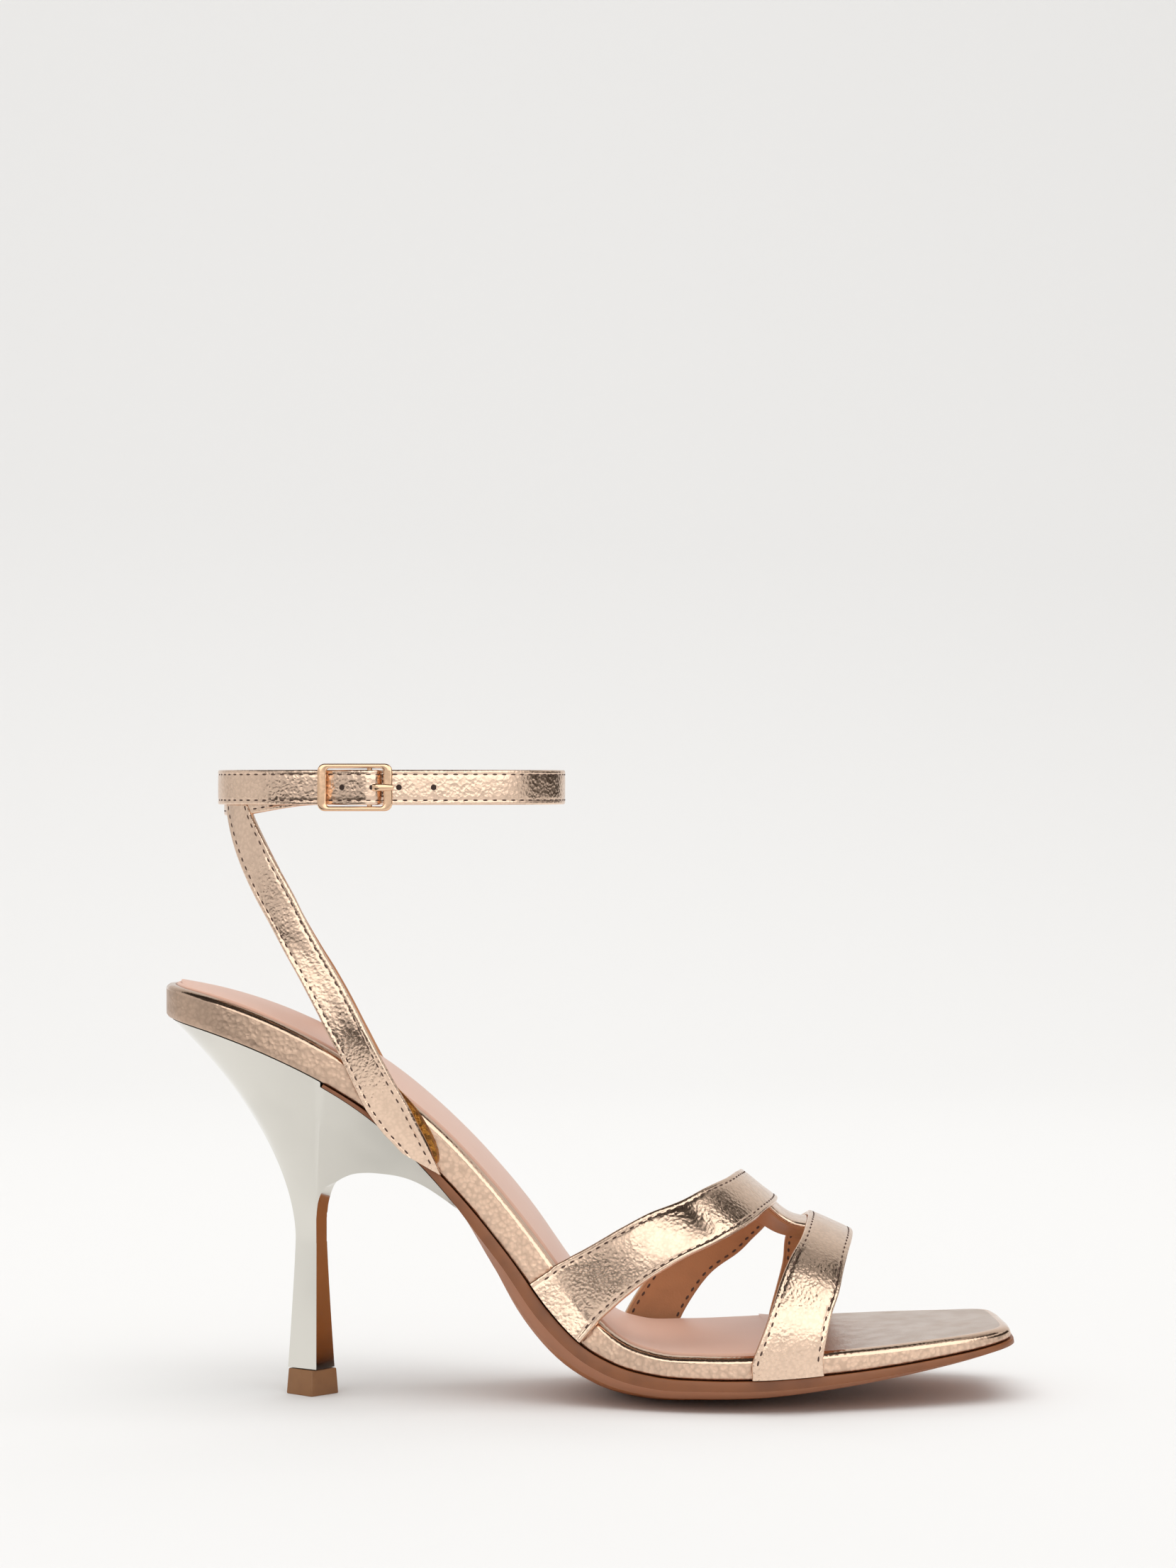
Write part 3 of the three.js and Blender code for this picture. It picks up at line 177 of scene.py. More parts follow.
class SandalFinish(bpy.types.PropertyGroup):
    strap_gold: colour("Strap gold", (0.86, 0.64, 0.49), "Foiled leather of the straps")
    rand_gold: colour("Rand gold", (0.78, 0.56, 0.42), "Pebbled foil leather round the footbed")
    sock_nude: colour("Sock", rgb(208, 164, 142), "Satin leather of the sock")
    lining_tan: colour("Lining", rgb(188, 132, 90), "Lining of the straps")
    amber: colour("Amber lining", rgb(168, 112, 40), "Back of the foil leather at the sling's fold")
    thread: colour("Thread", rgb(84, 56, 42), "Stitching thread")
    stitch_dark: colour("Strap holes", rgb(58, 36, 26), "Shadow in the strap's holes")
    sole_dark: colour("Sole edge", rgb(138, 82, 44), "Upright edge of the outsole")
    sole_tan: colour("Sole bevel", rgb(176, 118, 86), "Bevelled edge under the outsole")
    tread_tan: colour("Tread", rgb(178, 104, 44), "Underside of the outsole")
    heel_plate: colour("Heel plating", (0.73, 0.71, 0.655), "Mirror plating of the heel")
    tip_tan: colour("Heel tip", rgb(142, 98, 60), "Top piece under the heel")
    buckle_plate: colour("Buckle plating", (0.82, 0.55, 0.36), "Rose-gold plating of the buckle")


class SandalStage(bpy.types.PropertyGroup):
    lens: number("Lens", 90.0, "Focal length for a 36 mm long side", 20.0)
    azimuth: FloatProperty(
        name="Azimuth",
        description="Camera's angle round the sandal",
        default=math.radians(-2.5),
        subtype="ANGLE",
    )
    key_power: light_power("Key light", 10.5, "Power of the large soft box")
    back_power: light_power("Back light", 3.0, "Power of the light behind")
    wash_power: light_power("Backdrop light", 20.0, "Power on the backdrop")
    card_glow: number("White card", 1.75, "Brightness of the white cards")
    ambience: number("Ambience", 0.76, "Strength of the pale surroundings")


GROUPS = {
    "sandal_last": SandalLast,
    "sandal_sole": SandalSole,
    "sandal_heel": SandalHeel,
    "sandal_straps": SandalStraps,
    "sandal_buckle": SandalBuckle,
    "sandal_finish": SandalFinish,
    "sandal_stage": SandalStage,
}


def sizes(group):
    """A property group's lengths in millimetres, and its other numbers as they are."""
    holder = getattr(bpy.context.scene, group)
    values = {}
    for name, prop in holder.bl_rna.properties.items():
        if prop.type != "FLOAT" or prop.is_array:
            continue
        value = getattr(holder, name)
        values[name] = value / MM if prop.unit == "LENGTH" else value
    return namedtuple("Sizes", values)(**values)


def finish_colour(name):
    return tuple(getattr(bpy.context.scene.sandal_finish, name))


# Curves through tables of stations


def curve_through(xs, ys):
    xs = np.asarray(xs, float)
    ys = np.asarray(ys, float)
    gap = np.diff(xs)
    rate = np.diff(ys) / gap
    slope = np.empty_like(ys)
    slope[0], slope[-1] = rate[0], rate[-1]
    slope[1:-1] = (rate[:-1] * gap[1:] + rate[1:] * gap[:-1]) / (gap[:-1] + gap[1:])

    def value(x):
        x = np.asarray(x, float)
        i = np.clip(np.searchsorted(xs, x, side="right") - 1, 0, len(gap) - 1)
        t = (x - xs[i]) / gap[i]
        rise = ys[i] * (1 + 2 * t) * (1 - t) ** 2 + ys[i + 1] * t * t * (3 - 2 * t)
        inside = rise + gap[i] * (slope[i] * t * (1 - t) ** 2 - slope[i + 1] * t * t * (1 - t))
        below = ys[0] + (x - xs[0]) * slope[0]
        above = ys[-1] + (x - xs[-1]) * slope[-1]
        return np.where(x < xs[0], below, np.where(x > xs[-1], above, inside))

    return value


def smooth_step(low, high, x):
    t = np.clip((np.asarray(x, float) - low) / (high - low), 0, 1)
    return t * t * (3 - 2 * t)


def through_points(points, steps=40):
    """A centripetal curve through points, sampled so many times between each two."""
    points = [np.asarray(p, float) for p in points]
    first = 2 * points[0] - points[1]
    last = 2 * points[-1] - points[-2]
    chain = [first] + points + [last]
    samples = []
    for p0, p1, p2, p3 in zip(chain, chain[1:], chain[2:], chain[3:]):
        d0, d1, d2 = (max(np.linalg.norm(b - a), 1e-9) ** 0.5 for a, b in ((p0, p1), (p1, p2), (p2, p3)))
        t1 = ((p1 - p0) / d0 - (p2 - p0) / (d0 + d1) + (p2 - p1) / d1) * d1
        t2 = ((p2 - p1) / d1 - (p3 - p1) / (d1 + d2) + (p3 - p2) / d2) * d1
        for t in np.arange(steps) / steps:
            bend = (-3 * p1 + 3 * p2 - 2 * t1 - t2) * t**2 + (2 * p1 - 2 * p2 + t1 + t2) * t**3
            samples.append(p1 + t1 * t + bend)
    samples.append(points[-1])
    return np.array(samples)


class Line:
    """A sampled curve that is read by its share of length."""

    def __init__(self, samples):
        self.samples = np.asarray(samples, float)
        steps = np.linalg.norm(np.diff(self.samples, axis=0), axis=1)
        self.run = np.concatenate([[0], np.cumsum(steps)])
        self.length = self.run[-1]

    def at(self, shares):
        wanted = np.asarray(shares, float) * self.length
        return np.stack([np.interp(wanted, self.run, axis) for axis in self.samples.T], axis=-1)

    def share_at_x(self, x):
        return float(np.interp(x, self.samples[:, 0], self.run)) / self.length


# The last's bottom, as shares of the driving sizes at each station along the shoe
LastRow = namedtuple("LastRow", "along rise spring wrap sole bevel crown bank")
LAST_ROWS = [
    LastRow(*row)
    for row in (
        (0.000, 1.000, 0.00, 1.07, 0.20, 0.00, 0.00, 0.00),
        (0.061, 0.958, 0.00, 1.10, 0.20, 0.00, 0.00, 0.06),
        (0.126, 0.897, 0.00, 1.07, 0.20, 0.00, 0.00, 0.22),
        (0.191, 0.818, 0.00, 1.01, 0.15, 0.00, 0.00, 0.40),
        (0.246, 0.731, 0.00, 1.01, 0.20, 0.00, 0.00, 0.53),
        (0.302, 0.615, 0.00, 1.02, 0.30, 0.00, 0.00, 0.62),
        (0.353, 0.484, 0.00, 1.00, 0.48, 0.06, 0.00, 0.85),
        (0.404, 0.329, 0.00, 1.00, 0.93, 0.42, 0.25, 1.00),
        (0.450, 0.175, 0.00, 1.02, 1.15, 0.48, 0.55, 0.80),
        (0.487, 0.084, 0.00, 0.95, 1.12, 0.50, 0.80, 0.50),
        (0.524, 0.034, 0.00, 0.79, 1.10, 0.48, 0.95, 0.22),
        (0.570, 0.007, 0.00, 0.70, 1.04, 0.46, 1.03, 0.05),
        (0.626, 0.000, 0.00, 0.71, 0.94, 0.48, 1.03, 0.00),
        (0.691, 0.000, 0.01, 0.72, 0.90, 0.46, 1.03, 0.00),
        (0.760, 0.000, 0.12, 0.71, 0.80, 0.44, 0.95, 0.00),
        (0.830, 0.000, 0.29, 0.65, 0.66, 0.42, 0.75, 0.00),
        (0.899, 0.000, 0.53, 0.56, 0.54, 0.40, 0.50, 0.00),
        (0.955, 0.000, 0.77, 0.46, 0.44, 0.38, 0.30, 0.00),
        (1.000, 0.000, 1.00, 0.38, 0.40, 0.36, 0.20, 0.00),
    )
]

# The outline from above: each side's reach as a share of the width named with it
OutlineRow = namedtuple("OutlineRow", "along width lateral medial")
OUTLINE_ROWS = [
    OutlineRow(*row)
    for row in (
        (0.000, "seat_width", 0.060, 0.060),
        (0.005, "seat_width", 0.170, 0.170),
        (0.020, "seat_width", 0.287, 0.280),
        (0.052, "seat_width", 0.392, 0.380),
        (0.107, "seat_width", 0.472, 0.455),
        (0.172, "seat_width", 0.504, 0.483),
        (0.228, "seat_width", 0.496, 0.463),
        (0.302, "waist_width", 0.555, 0.485),
        (0.381, "waist_width", 0.527, 0.432),
        (0.441, "waist_width", 0.552, 0.468),
        (0.496, "ball_width", 0.384, 0.331),
        (0.552, "ball_width", 0.454, 0.388),
        (0.607, "ball_width", 0.512, 0.427),
        (0.663, "ball_width", 0.535, 0.452),
        (0.719, "ball_width", 0.535, 0.463),
        (0.783, "ball_width", 0.506, 0.452),
        (0.848, "ball_width", 0.460, 0.426),
        (0.904, "ball_width", 0.408, 0.376),
        (0.950, "toe_width", 0.626, 0.560),
        (0.981, "toe_width", 0.524, 0.476),
        (0.996, "toe_width", 0.405, 0.369),
        (1.000, "toe_width", 0.210, 0.190),
    )
]


class Last:
    """The foot shape that every piece of the sandal is built on."""

    rows = 170
    columns = 29

    def __init__(self):
        self.size = sizes("sandal_last")
        self.sole = sizes("sandal_sole")
        self.back = -self.size.seat_overhang
        stations = [self.along(row.along) for row in LAST_ROWS]
        size, sole = self.size, self.sole

        def curve(height):
            return curve_through(stations, [height(row) for row in LAST_ROWS])

        self.deck = curve(lambda r: size.ball_deck + r.rise * size.seat_rise + r.spring * size.toe_spring)
        self.wrap = curve(lambda r: r.wrap * sole.wrap_height)
        self.sole_depth = curve(lambda r: r.sole * sole.sole_edge)
        self.bevel = curve(lambda r: r.bevel)
        self.crown_rise = curve(lambda r: r.crown * sole.sole_crown)
        self.bank_rise = curve(lambda r: r.bank * size.arch_bank)
        self.outline = {side: self.side_line(side) for side in (-1, 1)}
        self.reach = {side: self.side_reach(side) for side in (-1, 1)}
        self.sole_start = self.back + sole.sole_start
        self.sock_end = self.back + sole.sock_length

    def along(self, part):
        return self.back + part * self.size.shoe_length

    def crown(self, x):
        return np.maximum(self.crown_rise(x), 0)

    def side_line(self, side):
        points = []
        for row in OUTLINE_ROWS:
            part = row.lateral if side < 0 else row.medial
            points.append((self.along(row.along), side * part * getattr(self.size, row.width)))
        return Line(through_points(points))

    def side_reach(self, side):
        samples = self.outline[side].at(np.linspace(0, 1, 141))
        return curve_through(samples[:, 0], np.abs(samples[:, 1]))

    def reach_beyond(self, x, side, distance):
        slope = (self.reach[side](x + 1) - self.reach[side](x - 1)) / 2
        return self.reach[side](x) + distance * np.hypot(1, slope)

    def lean(self, x):
        step = 0.5
        slope = (self.deck(x + step) - self.deck(x - step)) / (2 * step)
        return -np.arctan(slope) * smooth_step(self.along(0), self.along(0.15), x)

    def place(self, x, y, height):
        x, y, height = np.broadcast_arrays(np.asarray(x, float), y, height)
        lateral, medial = self.reach[-1](x), self.reach[1](x)
        across = np.clip((y + lateral) / np.maximum(lateral + medial, 1e-6), 0, 1)
        lean = self.lean(x)
        z = self.deck(x) + self.bank_rise(x) * across + height * np.cos(lean)
        return np.stack([x + height * np.sin(lean), y, z], axis=-1)

    def under_rim(self, x, drop):
        """The station whose rim, less a drop, lies over x."""
        station = np.array(x, float)
        for _ in range(14):
            rim = self.place(station, 0, self.wrap(station) - drop)
            station = station + 0.7 * (x - rim[..., 0])
        return station

    def plan(self, start_x, end_x, inset, rows=None):
        """A layer's plan inset from the outline: rows of stations by columns across."""
        rows = rows or self.rows
        even = np.linspace(0, 1, rows)
        shares = even - 0.09 * np.sin(2 * np.pi * even)
        edges = []
        for side in (-1, 1):
            line = self.outline[side]
            low = 0 if start_x is None else line.share_at_x(start_x)
            high = 1 if end_x is None else line.share_at_x(end_x)
            edges.append(line.at(low + (high - low) * shares))
        across = np.linspace(0, 1, self.columns)[None, :, None]
        grid = edges[0][:, None, :] * (1 - across) + edges[1][:, None, :] * across
        loop = grid_loop(*grid.shape[:2])
        edge = np.array([grid[i, j] for i, j in loop])
        run = np.roll(edge, -1, axis=0) - np.roll(edge, 1, axis=0)
        run /= np.linalg.norm(run, axis=1)[:, None]
        moved = edge + inset * np.stack([-run[:, 1], run[:, 0]], axis=1)
        for (i, j), point in zip(loop, moved):
            grid[i, j] = point
        inner = slice(1, -1)
        grid[inner] = grid[inner, :1] * (1 - across) + grid[inner, -1:] * across
        return grid


def grid_loop(rows, columns):
    loop = [(i, 0) for i in range(rows)]
    loop += [(rows - 1, j) for j in range(1, columns)]
    loop += [(i, columns - 1) for i in range(rows - 2, -1, -1)]
    loop += [(0, j) for j in range(columns - 2, 0, -1)]
    return loop


# Meshes


class Skin:
    """Points and faces in the making, with the finish of each face."""

    def __init__(self):
        self.points = []
        self.faces = []
        self.finishes = []

    def add_points(self, points):
        start = len(self.points)
        self.points.extend(np.asarray(points, float).reshape(-1, 3).tolist())
        return start

    def add_face(self, corners, finish=0):
        self.faces.append(tuple(corners))
        self.finishes.append(finish)

    def add_grid(self, grid, finish=0, flip=False):
        rows, columns = grid.shape[:2]
        start = self.add_points(grid)
        index = np.arange(rows * columns).reshape(rows, columns) + start
        for i in range(rows - 1):
            for j in range(columns - 1):
                quad = (index[i, j], index[i + 1, j], index[i + 1, j + 1], index[i, j + 1])
                self.add_face(quad[::-1] if flip else quad, finish)
        return [index[i, j] for i, j in grid_loop(rows, columns)]

    def join_loops(self, lower, upper, finish=0):
        count = len(lower)
        for k in range(count):
            after = (k + 1) % count
            self.add_face((lower[k], upper[k], upper[after], lower[after]), finish)

    def mesh(self, name):
        made = bpy.data.meshes.new(name)
        points = [[c * MM for c in point] for point in self.points]
        made.from_pydata(points, [], [[int(c) for c in face] for face in self.faces])
        return made

    def build(self, name, finishes, node, sharp=40.0):
        """Makes the object, facing out, in place of the CAD node."""
        mesh = self.mesh(name)
        for finish in finishes:
            mesh.materials.append(finish)
        mesh.polygons.foreach_set("material_index", self.finishes)
        made = bmesh.new()
        made.from_mesh(mesh)
        bmesh.ops.remove_doubles(made, verts=made.verts, dist=1e-7)
        bmesh.ops.recalc_face_normals(made, faces=made.faces)
        made.to_mesh(mesh)
        made.free()
        smooth(mesh, sharp)
        obj = bpy.data.objects.new(name, mesh)
        bpy.context.scene.collection.objects.link(obj)
        return settle(obj, node)


def smooth(mesh, sharp):
    mesh.shade_smooth()
    mesh.set_sharp_from_angle(angle=math.radians(sharp))
    mesh.update()


def settle(obj, node, body="root"):
    """Rides on the sandal and stands for its CAD node, which it hides."""
    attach(obj, body)
    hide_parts(node)
    return obj


def layered(skin, last, layers):
    """A closed layer of the sole: its underside, rings round the edge and its top.

    Each layer is (plan grid, height function or array, finish of what leads up to it)."""
    loop = None
    for k, (grid, height, finish) in enumerate(layers):
        x, y = grid[..., 0], grid[..., 1]
        shaped = last.place(x, y, height(x, y) if callable(height) else height)
        if k == 0:
            loop = skin.add_grid(shaped, finish, flip=True)
        elif k == len(layers) - 1:
            upper = skin.add_grid(shaped, finish)
            skin.join_loops(loop, upper, finish)
        else:
            ring = np.array([shaped[i, j] for i, j in grid_loop(*shaped.shape[:2])])
            start = skin.add_points(ring)
            upper = list(range(start, start + len(ring)))
            skin.join_loops(loop, upper, finish)
            loop = upper


def inward_swell(columns):
    """0 at both sides of a grid and 1 in its middle."""
    across = np.abs(np.linspace(-1, 1, columns))
    return np.cos(np.pi / 2 * across)[None, :]


# Finishes


class Finish:
    """A procedural material in the making."""

    def __init__(self, name, base, roughness, metallic=0.0):
        self.material = bpy.data.materials.new(name)
        self.material.use_nodes = True
        self.material.diffuse_color = (*base, 1.0)
        self.tree = self.material.node_tree
        self.shader = self.tree.nodes["Principled BSDF"]
        self.shader.inputs["Base Color"].default_value = (*base, 1.0)
        self.shader.inputs["Roughness"].default_value = roughness
        self.shader.inputs["Metallic"].default_value = metallic
        self.place = self.node("ShaderNodeTexCoord").outputs["Object"]
        self.height = None

    def node(self, kind, **settings):
        made = self.tree.nodes.new(kind)
        for name, value in settings.items():
            setattr(made, name, value)
        return made

    def link(self, source, target):
        self.tree.links.new(source, target)

    def noise(self, scale, detail=2.0, rough=0.5, stretch=(1, 1, 1), distortion=0.0):
        mapping = self.node("ShaderNodeMapping")
        self.link(self.place, mapping.inputs["Vector"])
        mapping.inputs["Scale"].default_value = stretch
        made = self.node("ShaderNodeTexNoise")
        self.link(mapping.outputs["Vector"], made.inputs["Vector"])
        made.inputs["Scale"].default_value = scale
        made.inputs["Detail"].default_value = detail
        made.inputs["Roughness"].default_value = rough
        made.inputs["Distortion"].default_value = distortion
        return made.outputs["Fac"]

    def cells(self, scale, feature="F1", warp=0.0, smoothness=0.4):
        """Grain: rounded cells, whose places are warped by a little noise."""
        source = self.place
        if warp:
            wobble = self.node("ShaderNodeTexNoise")
            self.link(self.place, wobble.inputs["Vector"])
            wobble.inputs["Scale"].default_value = scale * 0.6
            wobble.inputs["Detail"].default_value = 2.0
            scaled = self.node("ShaderNodeVectorMath", operation="SCALE")
            self.link(wobble.outputs["Color"], scaled.inputs[0])
            scaled.inputs["Scale"].default_value = warp / scale
            added = self.node("ShaderNodeVectorMath", operation="ADD")
            self.link(self.place, added.inputs[0])
            self.link(scaled.outputs["Vector"], added.inputs[1])
            source = added.outputs["Vector"]
        made = self.node("ShaderNodeTexVoronoi", feature=feature)
        self.link(source, made.inputs["Vector"])
        made.inputs["Scale"].default_value = scale
        if feature == "SMOOTH_F1":
            made.inputs["Smoothness"].default_value = smoothness
        return made.outputs["Distance"]

    def spread(self, value, low, high, to_low=0.0, to_high=1.0):
        made = self.node("ShaderNodeMapRange", interpolation_type="SMOOTHSTEP")
        self.link(value, made.inputs["Value"])
        for name, number in (("From Min", low), ("From Max", high), ("To Min", to_low), ("To Max", to_high)):
            made.inputs[name].default_value = number
        return made.outputs["Result"]

    def maths(self, operation, a, b):
        made = self.node("ShaderNodeMath", operation=operation)
        for socket, value in zip(made.inputs, (a, b)):
            if isinstance(value, (int, float)):
                socket.default_value = value
            else:
                self.link(value, socket)
        return made.outputs["Value"]

    def axis(self, name):
        made = self.node("ShaderNodeSeparateXYZ")
        self.link(self.place, made.inputs["Vector"])
        return made.outputs[name]

    def tint(self, factor, other):
        """Mixes the base colour so far with another colour, by a factor."""
        made = self.node("ShaderNodeMix", data_type="RGBA")
        self.link(factor, made.inputs[0])
        socket = self.shader.inputs["Base Color"]
        if socket.is_linked:
            self.link(socket.links[0].from_socket, made.inputs[6])
        else:
            made.inputs[6].default_value = socket.default_value
        made.inputs[7].default_value = (*other, 1.0)
        self.link(made.outputs[2], socket)

    def bump(self, height, depth_mm, strength=1.0):
        made = self.node("ShaderNodeBump")
        made.inputs["Strength"].default_value = strength
        made.inputs["Distance"].default_value = depth_mm * MM
        self.link(height, made.inputs["Height"])
        normal = self.shader.inputs["Normal"]
        if normal.is_linked:
            self.link(normal.links[0].from_socket, made.inputs["Normal"])
        self.link(made.outputs["Normal"], normal)

    def roughness(self, value):
        self.link(value, self.shader.inputs["Roughness"])


def darker(base, amount):
    return tuple(channel * amount for channel in base)


def strap_leather():
    """Foiled leather: a thin metal film over fine crinkled grain."""
    gold = finish_colour("strap_gold")
    made = Finish("Strap foil leather", gold, 0.2, 1.0)
    crinkle = made.cells(1100, "SMOOTH_F1", warp=1.1, smoothness=0.35)
    creases = made.noise(1300, 3.0, 0.6, distortion=0.8)
    calm = made.spread(made.noise(60, 2.0), 0.32, 0.62, 0.4, 1.0)
    made.bump(made.maths("MULTIPLY", crinkle, calm), 0.085)
    made.bump(made.maths("MULTIPLY", creases, calm), 0.03)
    made.bump(made.noise(90, 2.0), 0.04)
    made.roughness(made.spread(made.noise(260, 3.0), 0.3, 0.7, 0.15, 0.26))
    made.tint(made.spread(crinkle, 0.25, 0.75, 0.0, 0.3), darker(gold, 0.62))
    made.tint(made.spread(made.noise(90, 3.0), 0.45, 0.75, 0.0, 0.2), darker(gold, 0.8))
    return made.material


def rand_leather():
    """Pebbled foil leather round the footbed, with painted shade making it duller and darker at the back of
    the seat.
    """
    gold = finish_colour("rand_gold")
    made = Finish("Rand foil leather", gold, 0.34, 1.0)
    pebble = made.cells(850, "SMOOTH_F1", warp=0.8, smoothness=0.3)
    made.bump(pebble, 0.12)
    made.bump(made.noise(1000, 2.0, 0.6), 0.03)
    made.tint(made.spread(pebble, 0.3, 0.75, 0.0, 0.45), darker(gold, 0.55))
    # Painted shade: darker towards the back of the seat, standing for the darker reflection there.
    back = made.spread(made.axis("X"), -0.036, 0.045, 0.6, 0.0)
    made.tint(back, darker(gold, 0.52))
    made.tint(made.spread(made.noise(160, 3.0), 0.42, 0.72, 0.0, 0.25), darker(gold, 0.78))
    made.roughness(made.spread(made.noise(300, 3.0), 0.3, 0.7, 0.34, 0.46))
    return made.material


def rim_leather():
    """The rand where it is pulled tight over the rounded rim: smoother and glossier."""
    gold = finish_colour("rand_gold")
    made = Finish("Rim foil leather", gold, 0.12, 1.0)
    made.bump(made.cells(900, "SMOOTH_F1", warp=0.8), 0.035)
    made.bump(made.noise(70, 2.0), 0.12)
    # Painted shade: darker towards the back of the seat, as on the rand, for the darker reflection there.
    made.tint(made.spread(made.axis("X"), -0.036, 0.045, 0.5, 0.0), darker(gold, 0.55))
    made.roughness(made.spread(made.noise(200, 3.0), 0.3, 0.7, 0.11, 0.22))
    return made.material


def toe_leather():
    """The satin foil leather on top of the footbed, ahead of the sock, its gold paled towards grey as a
    painted reflection of the pale surroundings.
    """
    gold = finish_colour("rand_gold")
    # Painted reflection: the rand's gold paled towards grey, for the white surroundings that the toe's top
    # reflects.
    made = Finish("Toe foil leather", tuple((c + 0.72) / 2 for c in gold), 0.42, 1.0)
    made.bump(made.cells(1300, "SMOOTH_F1", warp=0.8), 0.04)
    made.bump(made.noise(60, 2.0), 0.1)
    made.roughness(made.spread(made.noise(200, 3.0), 0.3, 0.7, 0.36, 0.48))
    made.tint(made.spread(made.noise(100, 3.0), 0.42, 0.75, 0.0, 0.2), darker(gold, 0.85))
    return made.material


def lining_leather():
    tan = finish_colour("lining_tan")
    made = Finish("Lining leather", tan, 0.52)
    made.bump(made.cells(1700, "SMOOTH_F1", warp=0.6), 0.03)
    made.tint(made.spread(made.noise(130, 3.0), 0.4, 0.75, 0.0, 0.45), darker(tan, 0.72))
    return made.material


def amber_lining_in_shade():
    """The glittery amber back of the foil leather, darkened and speckled with painted shade of the gap that
    it shows in.
    """
    # Painted shade: a dark amber with dark speckles, for the lining seen in the shaded gap in front of the
    # sling.
    amber = finish_colour("amber")
    made = Finish("Amber lining", amber, 0.32, 0.7)
    made.bump(made.cells(1900, "F1", warp=0.8), 0.12)
    made.tint(made.spread(made.noise(700, 3.0), 0.45, 0.6, 0.0, 0.9), darker(amber, 0.35))
    return made.material


def sock_leather():
    nude = finish_colour("sock_nude")
    made = Finish("Sock leather", nude, 0.4)
    made.shader.inputs["Sheen Weight"].default_value = 0.2
    made.bump(made.cells(2300, "SMOOTH_F1", warp=0.8), 0.018)
    made.bump(made.noise(45, 2.0), 0.25)
    made.tint(made.spread(made.noise(60, 4.0), 0.45, 0.8, 0.0, 0.22), darker(nude, 0.86))
    return made.material


def sole_edge():
    dark = finish_colour("sole_dark")
    made = Finish("Sole edge", dark, 0.42)
    made.bump(made.noise(500, 3.0, 0.6, stretch=(0.15, 0.15, 1.6)), 0.04)
    made.tint(made.spread(made.noise(140, 3.0), 0.4, 0.75, 0.0, 0.5), darker(dark, 0.6))
    return made.material


def sole_tread():
    tan = finish_colour("tread_tan")
    made = Finish("Sole tread", tan, 0.5)
    made.bump(made.cells(700, "F1", warp=0.5), 0.08)
    made.tint(made.spread(made.noise(90, 3.0), 0.42, 0.8, 0.0, 0.4), darker(tan, 0.7))
    return made.material


def sole_bevel():
    tan = finish_colour("sole_tan")
    made = Finish("Sole bevel", tan, 0.46)
    made.bump(made.noise(900, 3.0, 0.6), 0.02)
    made.tint(made.spread(made.noise(110, 3.0), 0.42, 0.8, 0.0, 0.3), darker(tan, 0.78))
    return made.material


def heel_plating():
    """Mirror plating, a little duller and greyer towards the wing by painted shade, for the shaded floor that
    the wing reflects.
    """
    plate = finish_colour("heel_plate")
    made = Finish("Heel plating", plate, 0.06, 1.0)
    made.bump(made.noise(24, 1.0), 0.5)
    made.roughness(made.spread(made.noise(90, 3.0), 0.3, 0.8, 0.045, 0.1))
    # Painted reflection: greyer towards the wing, in soft clouds, for the shaded floor that the wing's
    # underside reflects.
    painted_wing_shade = made.spread(made.axis("X"), -0.012, 0.03, 0.0, 1.0)
    wing_shade_cloud = made.spread(made.noise(34, 2.0), 0.36, 0.62, 0.25, 1.0)
    made.tint(made.maths("MULTIPLY", made.maths("MULTIPLY", painted_wing_shade, wing_shade_cloud), 0.6), darker(plate, 0.66))
    made.tint(made.spread(made.noise(30, 2.0), 0.5, 0.7, 0.0, 0.3), darker(plate, 0.8))
    return made.material


def tip_rubber():
    tan = finish_colour("tip_tan")
    made = Finish("Heel tip rubber", tan, 0.6)
    made.bump(made.noise(1400, 3.0, 0.6), 0.03)
    made.tint(made.spread(made.noise(260, 3.0), 0.4, 0.75, 0.0, 0.4), darker(tan, 0.7))
    return made.material


def buckle_plating():
    plate = finish_colour("buckle_plate")
    made = Finish("Buckle plating", plate, 0.1, 1.0)
    made.bump(made.noise(420, 2.0), 0.012)
    made.roughness(made.spread(made.noise(600, 3.0), 0.3, 0.8, 0.06, 0.14))
    return made.material


def thread():
    brown = finish_colour("thread")
    made = Finish("Stitching thread", brown, 0.5)
    made.bump(made.noise(3000, 1.0), 0.03)
    made.tint(made.noise(900, 2.0), darker(brown, 0.6))
    return made.material


def hole_shadow():
    dark = finish_colour("stitch_dark")
    # Painted shadow in the strap's punched holes.
    made = Finish("Needle holes", dark, 0.8)
    made.tint(made.noise(900, 2.0), darker(dark, 0.5))
    return made.material


MAKERS = {
    "strap": strap_leather,
    "rand": rand_leather,
    "rim": rim_leather,
    "toe": toe_leather,
    "lining": lining_leather,
    "amber": amber_lining_in_shade,
    "sock": sock_leather,
    "edge": sole_edge,
    "tread": sole_tread,
    "bevel": sole_bevel,
    "heel": heel_plating,
    "tip": tip_rubber,
    "buckle": buckle_plating,
    "thread": thread,
    "hole": hole_shadow,
}
_finishes = {}


def finish(name):
    if name not in _finishes:
        _finishes[name] = MAKERS[name]()
    return _finishes[name]


# Footbed, sock and outsole


# How deep the sock's bed is sunk under the footbed's rim
SOCK_BED = 0.9


